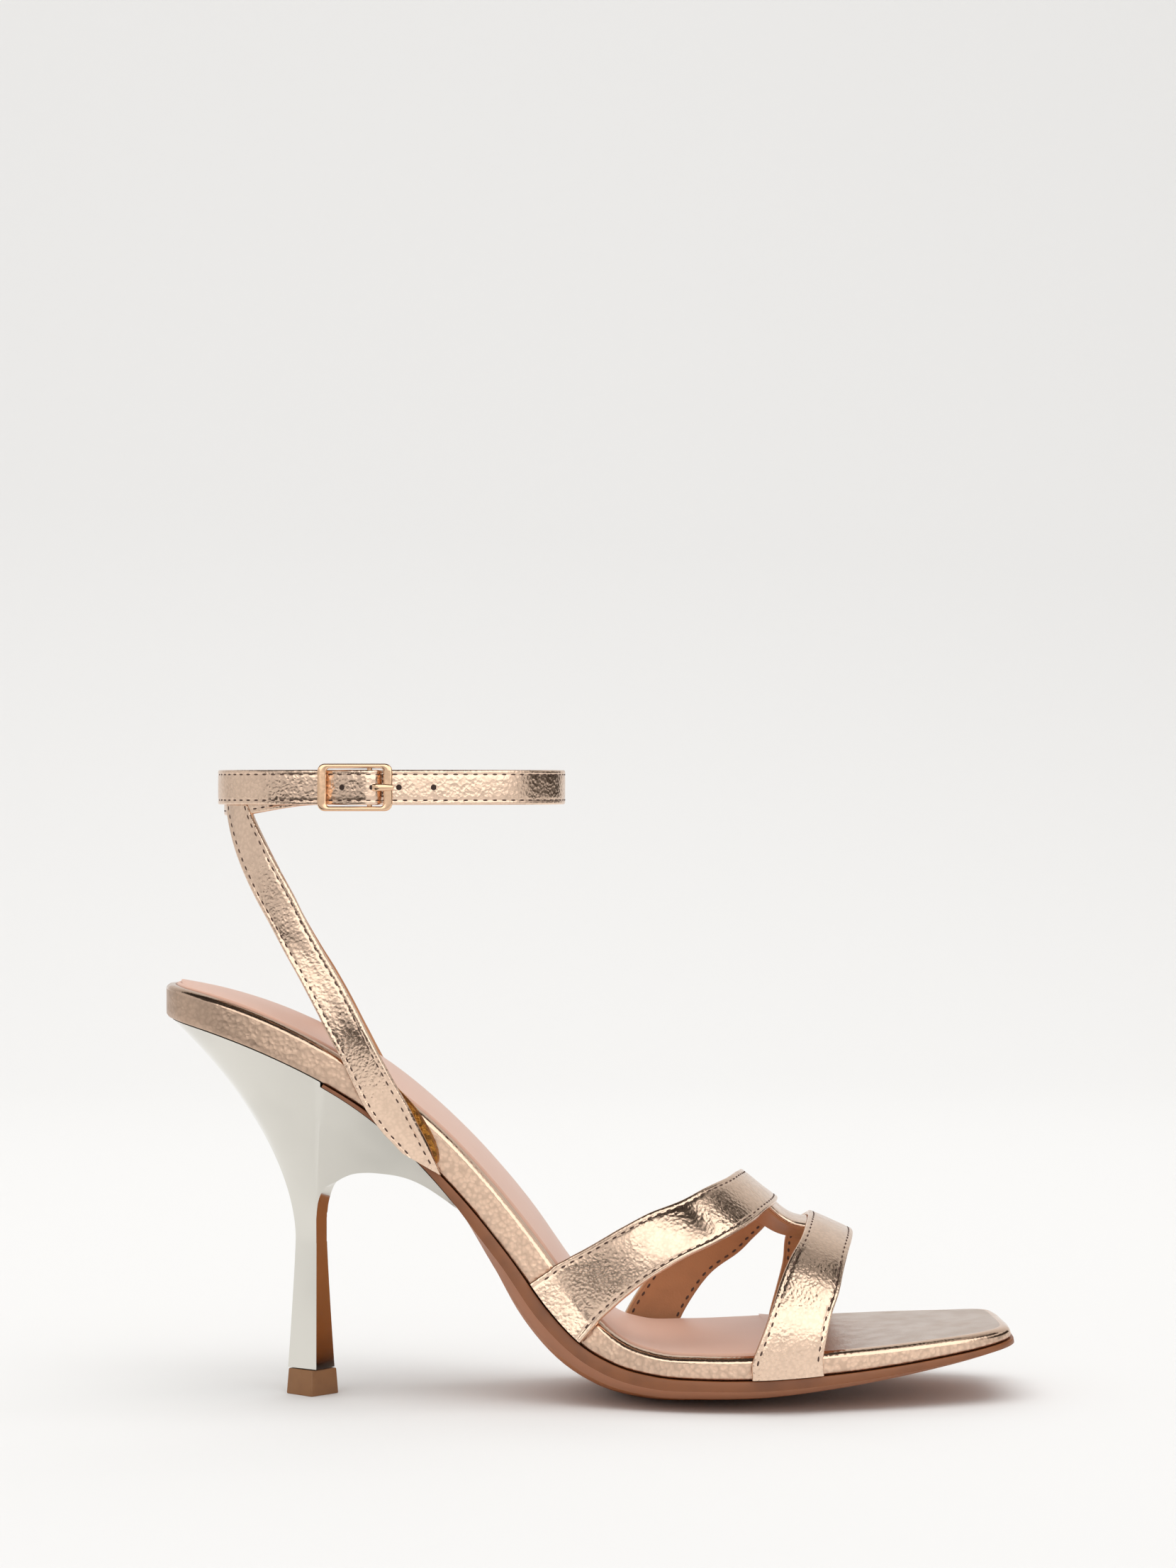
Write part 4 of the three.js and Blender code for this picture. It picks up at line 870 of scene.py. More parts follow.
def make_footbed(last):
    sole = last.sole
    low_edge = 0.45
    rand, rim, toe = 0, 1, 2

    def grid(inset):
        return last.plan(None, None, inset)

    def side(part):
        return lambda x, y: low_edge + part * (last.wrap(x) - sole.rim_drop - low_edge)

    def top(drop):
        return lambda x, y: last.wrap(x) - drop

    def floor(x, y):
        return last.wrap(x) - SOCK_BED * (1 - smooth_step(last.sock_end - 0.6, last.sock_end + 0.6, x))

    layers = [(grid(0.9), 0.0, rand), (grid(0.35), 0.05, rand), (grid(0.05), low_edge, rand)]
    for part in (0.2, 0.4, 0.6, 0.8):
        layers.append((grid(0.0), side(part), rand))
    for step in np.linspace(0, np.pi / 2, 9):
        inset = sole.wrap_rim * (1 - math.cos(step))
        layers.append((grid(inset), top(sole.rim_drop * (1 - math.sin(step))), rim if step else rand))
    layers.append((grid(sole.wrap_rim + 0.12), lambda x, y: (floor(x, y) + last.wrap(x)) / 2, rim))
    layers.append((grid(sole.wrap_rim + 0.25), floor, toe))
    layers.append((grid(sole.wrap_rim + 0.6), floor, toe))
    skin = Skin()
    layered(skin, last, layers)
    return skin.build("footbed_cover", [finish("rand"), finish("rim"), finish("toe")], "footbed", 50)


def make_sock(last):
    sole = last.sole
    rest = SOCK_BED - sole.clearance
    rows = 150

    def grid(inset):
        return last.plan(None, last.sock_end, sole.wrap_rim + sole.clearance + inset, rows)

    def over(height):
        return lambda x, y: last.wrap(x) - rest + height

    def padded(x, y):
        swell = sole.sock_crown * inward_swell(x.shape[1]) ** 0.8
        return last.wrap(x) - rest + sole.sock_thickness + swell

    layers = [(grid(0.35), over(0.0), 0), (grid(0.05), over(0.12), 0), (grid(0.0), over(0.4), 0)]
    for step in np.linspace(0.2, np.pi / 2, 6):
        rise = 0.4 + (sole.sock_thickness - 0.4) * math.sin(step)
        layers.append((grid(0.9 * (1 - math.cos(step))), over(rise), 0))
    layers.append((grid(1.2), padded, 0))
    skin = Skin()
    layered(skin, last, layers)
    sock = skin.build("sock", [finish("sock")], "sock", 60)
    return sock


def make_outsole(last):
    sole = last.sole
    bevel_inset = 3.4
    edge, bevel, tread = 0, 1, 2

    def grid(inset):
        return last.plan(last.sole_start, None, inset)

    def under(share_down, extra=0.0):
        return lambda x, y: -sole.clearance - extra - last.sole_depth(x) * share_down(x)

    def tread_height(x, y):
        swell = np.sin(np.pi / 2 * (1 - np.abs(np.linspace(-1, 1, x.shape[1]))))[None, :]
        return -sole.clearance - last.sole_depth(x) - last.crown(x) * swell

    def band_end(x):
        return 1 - last.bevel(x)

    margin = -sole.sole_margin
    layers = [
        (grid(bevel_inset), tread_height, tread),
        (grid(bevel_inset - 0.35), under(lambda x: 1 - 0.03 * last.bevel(x)), tread),
        (grid(margin + 0.25), under(lambda x: band_end(x) + 0.07 * last.bevel(x)), bevel),
        (grid(margin + 0.05), under(lambda x: band_end(x) + 0.01), bevel),
        (grid(margin), under(lambda x: band_end(x) - 0.03), edge),
        (grid(margin), under(lambda x: 0.5 * band_end(x)), edge),
        (grid(margin), under(lambda x: 0 * x, 0.2), edge),
        (grid(margin + 0.06), under(lambda x: 0 * x, 0.06), edge),
        (grid(margin + 0.2), under(lambda x: 0 * x), edge),
        (grid(margin + 0.5), under(lambda x: 0 * x), edge),
    ]
    skin = Skin()
    layered(skin, last, layers)
    points = np.array(skin.points)
    points[:, 2] = np.maximum(points[:, 2], 0)
    skin.points = points.tolist()
    return skin.build("outsole", [finish("edge"), finish("bevel"), finish("tread")], "outsole", 35)


# Heel


# The wing's nose: along the wing's length, and its reach as a share of the sole's own reach there
NoseRow = namedtuple("NoseRow", "along reach")
NOSE_ROWS = [NoseRow(0.90, 0.975), NoseRow(0.965, 0.90), NoseRow(0.995, 0.56), NoseRow(1.0, 0.0)]

# The breast arch: forward as a share of the way to the wing's nose, up as a share of the room between
# the waist and the sole, and how much of the column's front corner the face keeps
BreastRow = namedtuple("BreastRow", "forward up corner")
BREAST_ROWS = [
    BreastRow(*row)
    for row in (
        (0.000, 0.120, 1.0),
        (0.013, 0.215, 1.0),
        (0.045, 0.315, 0.8),
        (0.097, 0.384, 0.3),
        (0.149, 0.437, 0.1),
        (0.203, 0.478, 0.0),
        (0.307, 0.530, 0.0),
        (0.410, 0.578, 0.0),
        (0.513, 0.633, 0.0),
        (0.616, 0.687, 0.0),
        (0.717, 0.731, 0.0),
        (0.820, 0.768, 0.0),
        (0.923, 0.815, 0.0),
        (1.040, 0.840, 0.0),
    )
]


class HeelShape:
    """The heel's wall, and the tools that cut its seat and its breast."""

    quarter = 44

    def __init__(self, last):
        self.last = last
        self.size = sizes("sandal_heel")
        self.middle = self.size.ridge_forward / 2 - 1
        self.base = self.size.tip_height + last.sole.clearance
        self.top = float(last.deck(last.back)) + last.sole.wrap_height / 2
        self.roof = float(last.deck(last.back)) + last.sole.wrap_height
        self.wing_end = last.along(self.size.wing_share)

    def column(self, z):
        """The column's outline at a height: a square turned on its corner."""
        size = self.size
        climb = np.clip((size.waist_height - z) / (size.waist_height - self.base), 0, 1) ** 1.2
        half_length = (size.waist_length + (size.base_length - size.waist_length) * climb) / 2
        half_width = (size.waist_width + (size.base_width - size.waist_width) * climb) / 2
        side_x = self.middle + size.ridge_forward
        around = np.arange(4 * self.quarter)
        part = (around % self.quarter) / self.quarter
        side = around // self.quarter
        zero = np.zeros_like(half_length)
        corners = [
            (self.middle - half_length, zero),
            (side_x + zero, -half_width),
            (self.middle + half_length, zero),
            (side_x + zero, half_width),
        ]
        first_x = np.choose(side, [corners[k][0] for k in range(4)])
        first_y = np.choose(side, [corners[k][1] for k in range(4)])
        next_x = np.choose(side, [corners[(k + 1) % 4][0] for k in range(4)])
        next_y = np.choose(side, [corners[(k + 1) % 4][1] for k in range(4)])
        return first_x + (next_x - first_x) * part, first_y + (next_y - first_y) * part

    def seat_line(self, side):
        last, size = self.last, self.size
        line = last.outline[side]
        points = [(last.back + size.inset, 0.0)]
        for along in (0.005, 0.02, 0.052, 0.107, 0.172, 0.228, 0.28):
            x, y = line.at(line.share_at_x(last.along(along)))
            away = math.hypot(x - self.middle, y)
            points.append((x - size.inset * (x - self.middle) / away, y - size.inset * y / away))
        for row in NOSE_ROWS:
            x = last.back + row.along * (self.wing_end - last.back)
            points.append((x, side * row.reach * float(last.reach[side](x))))
        return Line(through_points(points))

    def under_sole(self, x, y):
        last = self.last

        def depth(station):
            step = smooth_step(last.sole_start - 1.8, last.sole_start - 0.6, station)
            return (last.sole_depth(station) + last.sole.clearance) * step

        station = x
        for _ in range(10):
            station = x + depth(station) * np.sin(last.lean(station))
        return last.place(station, y, -depth(station))[..., 2]

    def wall(self):
        size = self.size
        lines = {side: self.seat_line(side) for side in (-1, 1)}
        side_share = lines[-1].share_at_x(self.middle + size.ridge_forward + 2)
        nose_start = 0.7 * (float(self.under_sole(self.wing_end, 0.0)) - size.waist_height)
        around = 4 * self.quarter
        targets = []
        starts = []
        for k in range(around):
            medial = k > 2 * self.quarter
            rear = (around - k if medial else k) / self.quarter
            part = rear * side_share if rear <= 1 else side_share + (rear - 1) * (1 - side_share)
            targets.append(lines[1 if medial else -1].at(part))
            starts.append(size.waist_height + nose_start * max(rear - 1, 0))
        targets = np.array(targets)
        starts = np.array(starts)
        tops = self.under_sole(targets[:, 0], targets[:, 1])
        rings = []
        for part in np.linspace(0, 0.95, 14):
            z = np.full(around, self.base + part * (size.waist_height - self.base))
            x, y = self.column(z)
            rings.append(np.stack([x, y, z], axis=1))
        for climb in np.linspace(0, 1, 72):
            z = starts + (tops - starts) * climb
            x, y = self.column(z)
            opened = climb**size.flare
            x = x + (targets[:, 0] - x) * opened
            y = y + (targets[:, 1] - y) * opened
            rings.append(np.stack([x, y, z], axis=1))
        rings.append(np.column_stack([targets, np.full(around, self.top)]))
        return rings

    def wall_mesh(self):
        skin = Skin()
        loop = None
        rings = self.wall()
        for ring in rings:
            start = skin.add_points(ring)
            upper = list(range(start, start + len(ring)))
            if loop is None:
                skin.add_face(upper)
            else:
                skin.join_loops(loop, upper)
            loop = upper
        skin.add_face(loop)
        return skin

    def seat_tool(self, start_x, depth):
        last = self.last
        spread = 3
        grid = last.plan(None if start_x is None else start_x + spread, None, -spread, 110)
        x, y = grid[..., 0], grid[..., 1]
        bottom = last.place(x, y, -depth(x) - last.sole.clearance)
        top = bottom.copy()
        top[..., 2] = self.roof + 5
        skin = Skin()
        lower = skin.add_grid(bottom, flip=True)
        upper = skin.add_grid(top)
        skin.join_loops(lower, upper)
        return skin

    def breast_tool(self):
        last, size = self.last, self.size
        start = self.middle + size.waist_length / 2 - 0.05
        reach = self.wing_end - start
        corner_depth = size.waist_length / 2 - size.ridge_forward
        line = through_points([(row.forward, row.up, row.corner) for row in BREAST_ROWS], 8)
        half = size.waist_width / 2
        ys = np.concatenate([[-last.size.seat_width], np.linspace(-half, half, 3), [last.size.seat_width]])
        forward, up, corner = (line[:, k : k + 1] for k in range(3))
        x = start + forward * reach - np.where(ys == 0, 0, corner_depth)[None, :] * corner
        y = np.broadcast_to(ys, x.shape)
        z = size.waist_height + up * (self.under_sole(x, y) - size.waist_height)
        top = np.stack([x, y, z], axis=-1)
        bottom = top.copy()
        bottom[..., 2] = np.where(corner < 0.2, size.tip_height, size.waist_height - 1)
        skin = Skin()
        lower = skin.add_grid(bottom, flip=True)
        upper = skin.add_grid(top)
        skin.join_loops(lower, upper)
        return skin


def tool_object(skin, name):
    """A cutter: a closed object that is removed once it has cut."""
    mesh = skin.mesh(name)
    made = bmesh.new()
    made.from_mesh(mesh)
    bmesh.ops.recalc_face_normals(made, faces=made.faces)
    made.to_mesh(mesh)
    made.free()
    obj = bpy.data.objects.new(name, mesh)
    bpy.context.scene.collection.objects.link(obj)
    return obj


def cut(obj, tools):
    for tool in tools:
        modifier = obj.modifiers.new("cut", "BOOLEAN")
        modifier.operation = "DIFFERENCE"
        modifier.solver = "EXACT"
        modifier.object = tool
    graph = bpy.context.evaluated_depsgraph_get()
    result = bpy.data.meshes.new_from_object(obj.evaluated_get(graph))
    obj.modifiers.clear()
    obj.data = result
    for tool in tools:
        bpy.data.objects.remove(tool)


def make_heel(last):
    shape = HeelShape(last)
    sole = last.sole
    heel = shape.wall_mesh().build("heel", [finish("heel")], "heel", 30)

    def under_outsole(x):
        return last.sole_depth(x) + last.crown(x) + sole.clearance

    start = last.sole_start - sole.sole_margin - sole.clearance
    tools = [
        tool_object(shape.seat_tool(None, lambda x: 0 * x), "seat_cutter"),
        tool_object(shape.seat_tool(start, under_outsole), "sole_cutter"),
        tool_object(shape.breast_tool(), "breast_cutter"),
    ]
    cut(heel, tools)
    smooth(heel.data, 28)
    return heel


def make_heel_tip():
    size = sizes("sandal_heel")
    skin = Skin()
    corners = np.array([(-1, 0), (0, -1), (1, 0), (0, 1)], float) * (size.tip_length / 2, size.tip_width / 2)
    levels = [(0.0, 0.965), (0.12, 0.99), (0.35, 1.0)]
    levels += [(size.tip_height - 0.4, 1.0), (size.tip_height - 0.12, 0.99), (size.tip_height, 0.965)]
    loop = None
    for z, rounding in levels:
        scale = (1 + (size.tip_taper - 1) * z / size.tip_height) * rounding
        ring = []
        for k in range(4):
            here, after, before = corners[k], corners[(k + 1) % 4], corners[k - 1]
            for step in np.linspace(0, 1, 5):
                start = here + (before - here) * 0.045
                end = here + (after - here) * 0.045
                bend = (1 - step) ** 2 * start + 2 * step * (1 - step) * here + step**2 * end
                ring.append((*(bend * scale), z))
        start = skin.add_points(ring)
        upper = list(range(start, start + len(ring)))
        if loop is None:
            skin.add_face(upper)
        else:
            skin.join_loops(loop, upper)
        loop = upper
    skin.add_face(loop)
    return skin.build("heel_tip", [finish("tip")], "heel_tip", 30)


# Straps


def unit(vectors):
    return vectors / np.maximum(np.linalg.norm(vectors, axis=-1, keepdims=True), 1e-9)


class Band:
    """A strap over a surface: surface(t, share) gives its outer face, t along it and share across."""

    def __init__(self, surface, rows, thickness, centre, edge_radius=0.45):
        self.surface = surface
        self.t = np.linspace(0, 1, rows) if np.isscalar(rows) else np.asarray(rows)
        self.thickness = thickness
        self.centre = np.asarray(centre, float)
        self.radius = min(edge_radius, thickness / 2 - 0.02)
        left = surface(self.t, 0 * self.t)
        right = surface(self.t, 0 * self.t + 1)
        self.width = np.linalg.norm(right - left, axis=-1)
        cross = unit(right - left)
        self.scale = []
        for edge in (left, right):
            along = unit(np.gradient(edge, axis=0))
            skew = np.linalg.norm(np.cross(along, cross), axis=-1)
            self.scale.append(1 / (np.maximum(skew, 0.3) * self.width))

    def share(self, distance, side):
        """The share across at a true distance in from an edge, at every row."""
        near = distance * self.scale[side]
        return near if side == 0 else 1 - near

    def normals(self, grid):
        along = np.gradient(grid, axis=0)
        across = np.gradient(grid, axis=1)
        normal = unit(np.cross(across, along))
        away = grid - self.centre
        return normal if np.sum(normal * away) > 0 else -normal

    def face(self, t, shares):
        return self.surface(np.broadcast_to(t[:, None], shares.shape), shares)

    def columns(self, groove):
        near = [0.0, self.radius, self.radius + 0.35, groove - 0.3, groove - 0.1, groove + 0.1, groove + 0.35]
        near = [d for d in near if d >= 0] + [groove + 0.9]
        left = [self.share(d, 0) for d in near]
        right = [self.share(d, 1) for d in near][::-1]
        middle = [left[-1] + (right[0] - left[-1]) * p for p in np.linspace(0, 1, 10)[1:-1]]
        return np.stack(left + middle + right, axis=1)

    def build(self, skin, groove=1.35, groove_depth=0.14, swell=0.12, rim_swell=0.08, back=1):
        shares = self.columns(groove)
        grid = self.face(self.t, shares)
        normal = self.normals(grid)
        width = self.width[:, None]
        from_left = shares / self.scale[0][:, None]
        from_right = (1 - shares) / self.scale[1][:, None]
        dent = np.exp(-(((from_left - groove) / 0.3) ** 2)) + np.exp(-(((from_right - groove) / 0.3) ** 2))
        centre_swell = swell * np.clip(np.minimum(from_left, from_right) / (0.3 * width), 0, 1) ** 0.7
        rim = np.exp(-(((from_left - 0.55) / 0.3) ** 2)) + np.exp(-(((from_right - 0.55) / 0.3) ** 2))
        lift = centre_swell - groove_depth * dent + rim_swell * rim
        outer = grid + normal * lift[..., None]
        radius, thickness = self.radius, self.thickness
        side = [unit(grid[:, 0] - grid[:, 1]), unit(grid[:, -1] - grid[:, -2])]
        angles = np.linspace(0, np.pi / 2, 5)

        def corner(j, out, top):
            centre = grid[:, j] - normal[:, j] * (radius if top else thickness - radius)
            up = normal[:, j] if top else -normal[:, j]
            turned = [centre + radius * (math.cos(a) * up + math.sin(a) * out) for a in angles]
            return turned if top else turned[::-1]

        sections = [outer[:, j] for j in range(2, outer.shape[1] - 2)]
        sections += corner(-2, side[1], True)
        lined_from = len(sections)
        sections += corner(-2, side[1], False)
        sections += [grid[:, j] - normal[:, j] * thickness for j in range(grid.shape[1] - 3, 1, -1)]
        sections += corner(1, side[0], False)
        lined_to = len(sections) - 1
        sections += corner(1, side[0], True)[::-1]
        rows, count = len(self.t), len(sections)
        start = skin.add_points(np.stack(sections, axis=1))
        index = np.arange(rows * count).reshape(rows, count) + start
        for i in range(rows - 1):
            for k in range(count):
                after = (k + 1) % count
                lined = lined_from <= k < lined_to
                corners = (index[i, k], index[i + 1, k], index[i + 1, after], index[i, after])
                skin.add_face(corners, back * lined)
        skin.add_face(index[0], 0)
        skin.add_face(index[-1][::-1], 0)
        return outer

    def path(self, distance, side, lift=0.0):
        """A line on the face at a distance in from an edge, with the face's normal at each point."""
        shares = np.stack([self.share(distance + d, side) for d in (-0.2, 0.0, 0.2)], axis=1)
        grid = self.face(self.t, shares)
        normal = self.normals(grid)[:, 1]
        return grid[:, 1] + normal * lift, normal


def stitches(skin, path, normals, pitch, start=0.0, end=0.0, lift=0.0):
    """A row of thread dashes along a path."""
    half_width, half_height = 0.29, 0.17
    line = Line(np.column_stack([path, normals]))
    line.run = np.concatenate([[0], np.cumsum(np.linalg.norm(np.diff(path, axis=0), axis=1))])
    line.length = line.run[-1]
    usable = line.length - start - end
    count = max(int(round(usable / pitch)), 1)
    for k in range(count):
        where = (start + usable * (k + np.array([0.24, 0.76])) / count) / line.length
        a, b = line.at(where)
        middle = (a + b) / 2
        along = (b[:3] - a[:3]) / 2
        up = unit(middle[3:])
        across = unit(np.cross(along, up))
        bead(skin, middle[:3] + up * (lift + 0.02), along, across * half_width, up * half_height)


def bead(skin, centre, along, across, up):
    """A small rounded bead with 6 sides and 4 rings."""
    sides = 6
    rings = []
    for turn, reach in ((-1.0, 0.0), (-0.86, 0.6), (-0.35, 1.0), (0.35, 1.0), (0.86, 0.6), (1.0, 0.0)):
        if reach == 0.0:
            rings.append([skin.add_points([centre + along * turn])])
            continue
        circle = [
            centre + along * turn + (across * math.cos(a) + up * math.sin(a)) * reach
            for a in np.linspace(0, 2 * math.pi, sides, endpoint=False)
        ]
        start = skin.add_points(circle)
        rings.append(list(range(start, start + sides)))
    for lower, upper in zip(rings, rings[1:]):
        for k in range(sides):
            after = (k + 1) % sides
            if len(lower) == 1:
                skin.add_face((lower[0], upper[after], upper[k]), 0)
            elif len(upper) == 1:
                skin.add_face((lower[k], lower[after], upper[0]), 0)
            else:
                skin.add_face((lower[k], lower[after], upper[after], upper[k]), 0)


# Height of the instep's crest at each station, as a share of the instep height
CrestRow = namedtuple("CrestRow", "along crest")
CREST_ROWS = [
    CrestRow(*row)
    for row in (
        (0.427, 2.08),
        (0.543, 1.68),
        (0.589, 1.50),
        (0.635, 1.326),
        (0.686, 1.136),
        (0.728, 0.996),
        (0.769, 0.918),
        (0.820, 0.82),
        (0.867, 0.74),
    )
]

# Where each band's rear and front edges cross each turn of the arch, as shares of the shoe's length
# ahead of the rear strap's foot
BandRow = namedtuple("BandRow", "turn rear front")
REAR_STRAP_ROWS = [
    BandRow(*row)
    for row in (
        (-90, 0.000, 0.051),
        (-80, 0.035, 0.090),
        (-70, 0.071, 0.137),
        (-60, 0.112, 0.183),
        (-50, 0.153, 0.215),
        (-40, 0.181, 0.237),
        (-28, 0.206, 0.255),
        (-14, 0.223, 0.270),
        (0, 0.233, 0.278),
        (16, 0.235, 0.281),
        (30, 0.230, 0.280),
        (44, 0.213, 0.275),
        (56, 0.192, 0.260),
        (67, 0.171, 0.239),
        (77, 0.140, 0.205),
        (84, 0.117, 0.184),
        (90, 0.097, 0.166),
    )
]
FRONT_STRAP_ROWS = [
    BandRow(*row)
    for row in (
        (-90, 0.229, 0.312),
        (-82, 0.242, 0.317),
        (-73, 0.253, 0.323),
        (-62, 0.264, 0.333),
        (-49, 0.278, 0.341),
        (-35, 0.294, 0.350),
        (-15, 0.308, 0.362),
        (0, 0.315, 0.368),
        (16, 0.317, 0.370),
        (32, 0.309, 0.367),
        (47, 0.299, 0.362),
        (66, 0.296, 0.358),
        (78, 0.289, 0.354),
        (90, 0.279, 0.350),
    )
]
BRIDGE_ROWS = [
    BandRow(*row)
    for row in (
        (-20, 0.243, 0.325),
        (-14, 0.248, 0.327),
        (0, 0.255, 0.335),
        (16, 0.258, 0.337),
        (32, 0.257, 0.330),
        (44, 0.252, 0.322),
    )
]


class Instep:
    """The arch across the foot that the forefoot straps lie on."""

    def __init__(self, last):
        self.last = last
        self.size = sizes("sandal_straps")
        self.stand_off = self.size.thickness + 1.5 * last.sole.clearance
        self.crest = curve_through(
            [last.along(row.along) for row in CREST_ROWS],
            [row.crest * self.size.instep_height for row in CREST_ROWS],
        )

    def x_at(self, part):
        return self.last.back + self.size.ball_start + part * self.last.size.shoe_length

    def point(self, x, turn):
        last, size = self.last, self.size
        x, turn = np.broadcast_arrays(np.asarray(x, float), turn)
        station = last.under_rim(x, size.rim_reach)
        made = np.empty(x.shape + (3,))
        for side in (-1, 1):
            reach = last.reach_beyond(station, side, self.stand_off)
            rim = last.place(station, side * last.reach[side](station), last.wrap(station) - size.rim_reach)
            angle = np.radians(np.abs(turn))
            out = side * (reach - side * size.crest_shift)
            y = size.crest_shift + out * np.sin(angle) ** (2 / size.arch_power)
            lift = np.maximum(np.cos(angle), 0) ** (2 / size.arch_power)
            here = np.stack([x, y, rim[..., 2] + (self.crest(x) - rim[..., 2]) * lift], axis=-1)
            on_side = (turn < 0) if side < 0 else (turn >= 0)
            made[on_side] = here[on_side]
        return made

    def band(self, rows, foot_share=0.055):
        """A band from the outsole up one side of the footbed, over the arch and down the other side."""
        last, size = self.last, self.size
        turns = [row.turn for row in rows]
        rear = curve_through(turns, [self.x_at(row.rear) for row in rows])
        front = curve_through(turns, [self.x_at(row.front) for row in rows])

        def surface(t, part):
            turn = np.interp(t, [foot_share, 1 - foot_share], [-90.0, 90.0])
            x = rear(turn) + part * (front(turn) - rear(turn))
            made = self.point(x, turn)
            for side in (-1, 1):
                below = t < foot_share if side < 0 else t > 1 - foot_share
                if not np.any(below):
                    continue
                down = (foot_share - t) / foot_share if side < 0 else (t - 1 + foot_share) / foot_share
                station = last.under_rim(x, size.rim_reach)
                height = (1 - 0.96 * down) * (last.wrap(station) - size.rim_reach)
                y = side * last.reach_beyond(station, side, self.stand_off)
                foot = last.place(station, y, height)
                made[below] = foot[below]
            return made

        return surface

    def bridge(self, rows):
        turns = [row.turn for row in rows]
        rear = curve_through(turns, [self.x_at(row.rear) for row in rows])
        front = curve_through(turns, [self.x_at(row.front) for row in rows])
        middle = (turns[0] + turns[-1]) / 2
        half = (turns[-1] - turns[0]) / 2

        def surface(t, part):
            pinch = 1 - 0.16 * np.sin(np.pi * part) ** 0.8
            turn = middle + half * (2 * t - 1) * pinch
            x = rear(turn) + part * (front(turn) - rear(turn))
            made = self.point(x, turn)
            made[..., 2] -= self.size.bridge_inset + self.size.bridge_sag * np.sin(np.pi * part) ** 1.5
            return made

        return surface


def make_vamp(last):
    instep = Instep(last)
    size = instep.size
    centre = (last.along(0.62), size.crest_shift, last.size.ball_deck + 5)
    for name, rows in (("rear_strap", REAR_STRAP_ROWS), ("front_strap", FRONT_STRAP_ROWS)):
        band = Band(instep.band(rows), 170, size.thickness, centre, 0.5)
        skin = Skin()
        band.build(skin, size.stitch_inset)
        skin.build(name, [finish("strap"), finish("lining")], "vamp", 55)
        sew(name, band, size, "vamp")
    bridge = Band(instep.bridge(BRIDGE_ROWS), 40, size.thickness, centre, 0.6)
    skin = Skin()
    turned_bridge(skin, bridge)
    skin.build("bridge", [finish("strap"), finish("lining")], "vamp", 55)


def turned_bridge(skin, bridge):
    """The bridge's free edges are the ends of its rows, so it is built the other way round."""
    surface = bridge.surface
    turned = Band(lambda t, part: surface(part, t), 30, bridge.thickness, bridge.centre, 0.75)
    turned.build(skin, groove=2.2, groove_depth=0.0, swell=0.1, rim_swell=0.15)


def sew(name, band, size, node, ends=(3.0, 3.0), distance=None):
    """Stitches along both edges of a band, on its face and on its lining."""
    distance = distance or size.stitch_inset
    skin = Skin()
    for side in (0, 1):
        path, normals = band.path(distance, side)
        stitches(skin, path, normals, size.stitch_pitch, *ends, lift=-0.1)
        inner, inner_normals = band.path(distance, side, -band.thickness)
        stitches(skin, inner, -inner_normals, size.stitch_pitch, *ends)
    skin.build(name + "_stitching", [finish("thread")], node, 60)


# The sling's two legs: heights as shares of the way up to the ankle strap, rear and front as shares of
# the leg's half length behind its middle
SlingRow = namedtuple("SlingRow", "rear_up rear front_up front")
SLING_ROWS = [
    SlingRow(*row)
    for row in (
        (0.038, -0.018, -0.030, -0.208),
        (0.062, 0.018, 0.010, -0.178),
        (0.085, 0.052, 0.060, -0.135),
        (0.120, 0.095, 0.110, -0.092),
        (0.156, 0.136, 0.156, -0.057),
        (0.211, 0.185, 0.211, -0.003),
        (0.285, 0.250, 0.285, 0.068),
        (0.352, 0.319, 0.352, 0.130),
        (0.421, 0.389, 0.421, 0.194),
        (0.496, 0.473, 0.496, 0.273),
        (0.563, 0.557, 0.563, 0.356),
        (0.637, 0.649, 0.637, 0.446),
        (0.711, 0.746, 0.711, 0.532),
        (0.786, 0.836, 0.786, 0.630),
        (0.860, 0.911, 0.860, 0.727),
        (0.939, 0.970, 0.939, 0.828),
        (1.010, 0.990, 1.010, 0.885),
    )
]


# The holes that show on the strap's outer layer, as lengths ahead of the buckle's middle
STRAP_HOLES = (-3.1, 4.2, 10.6, 19.2)


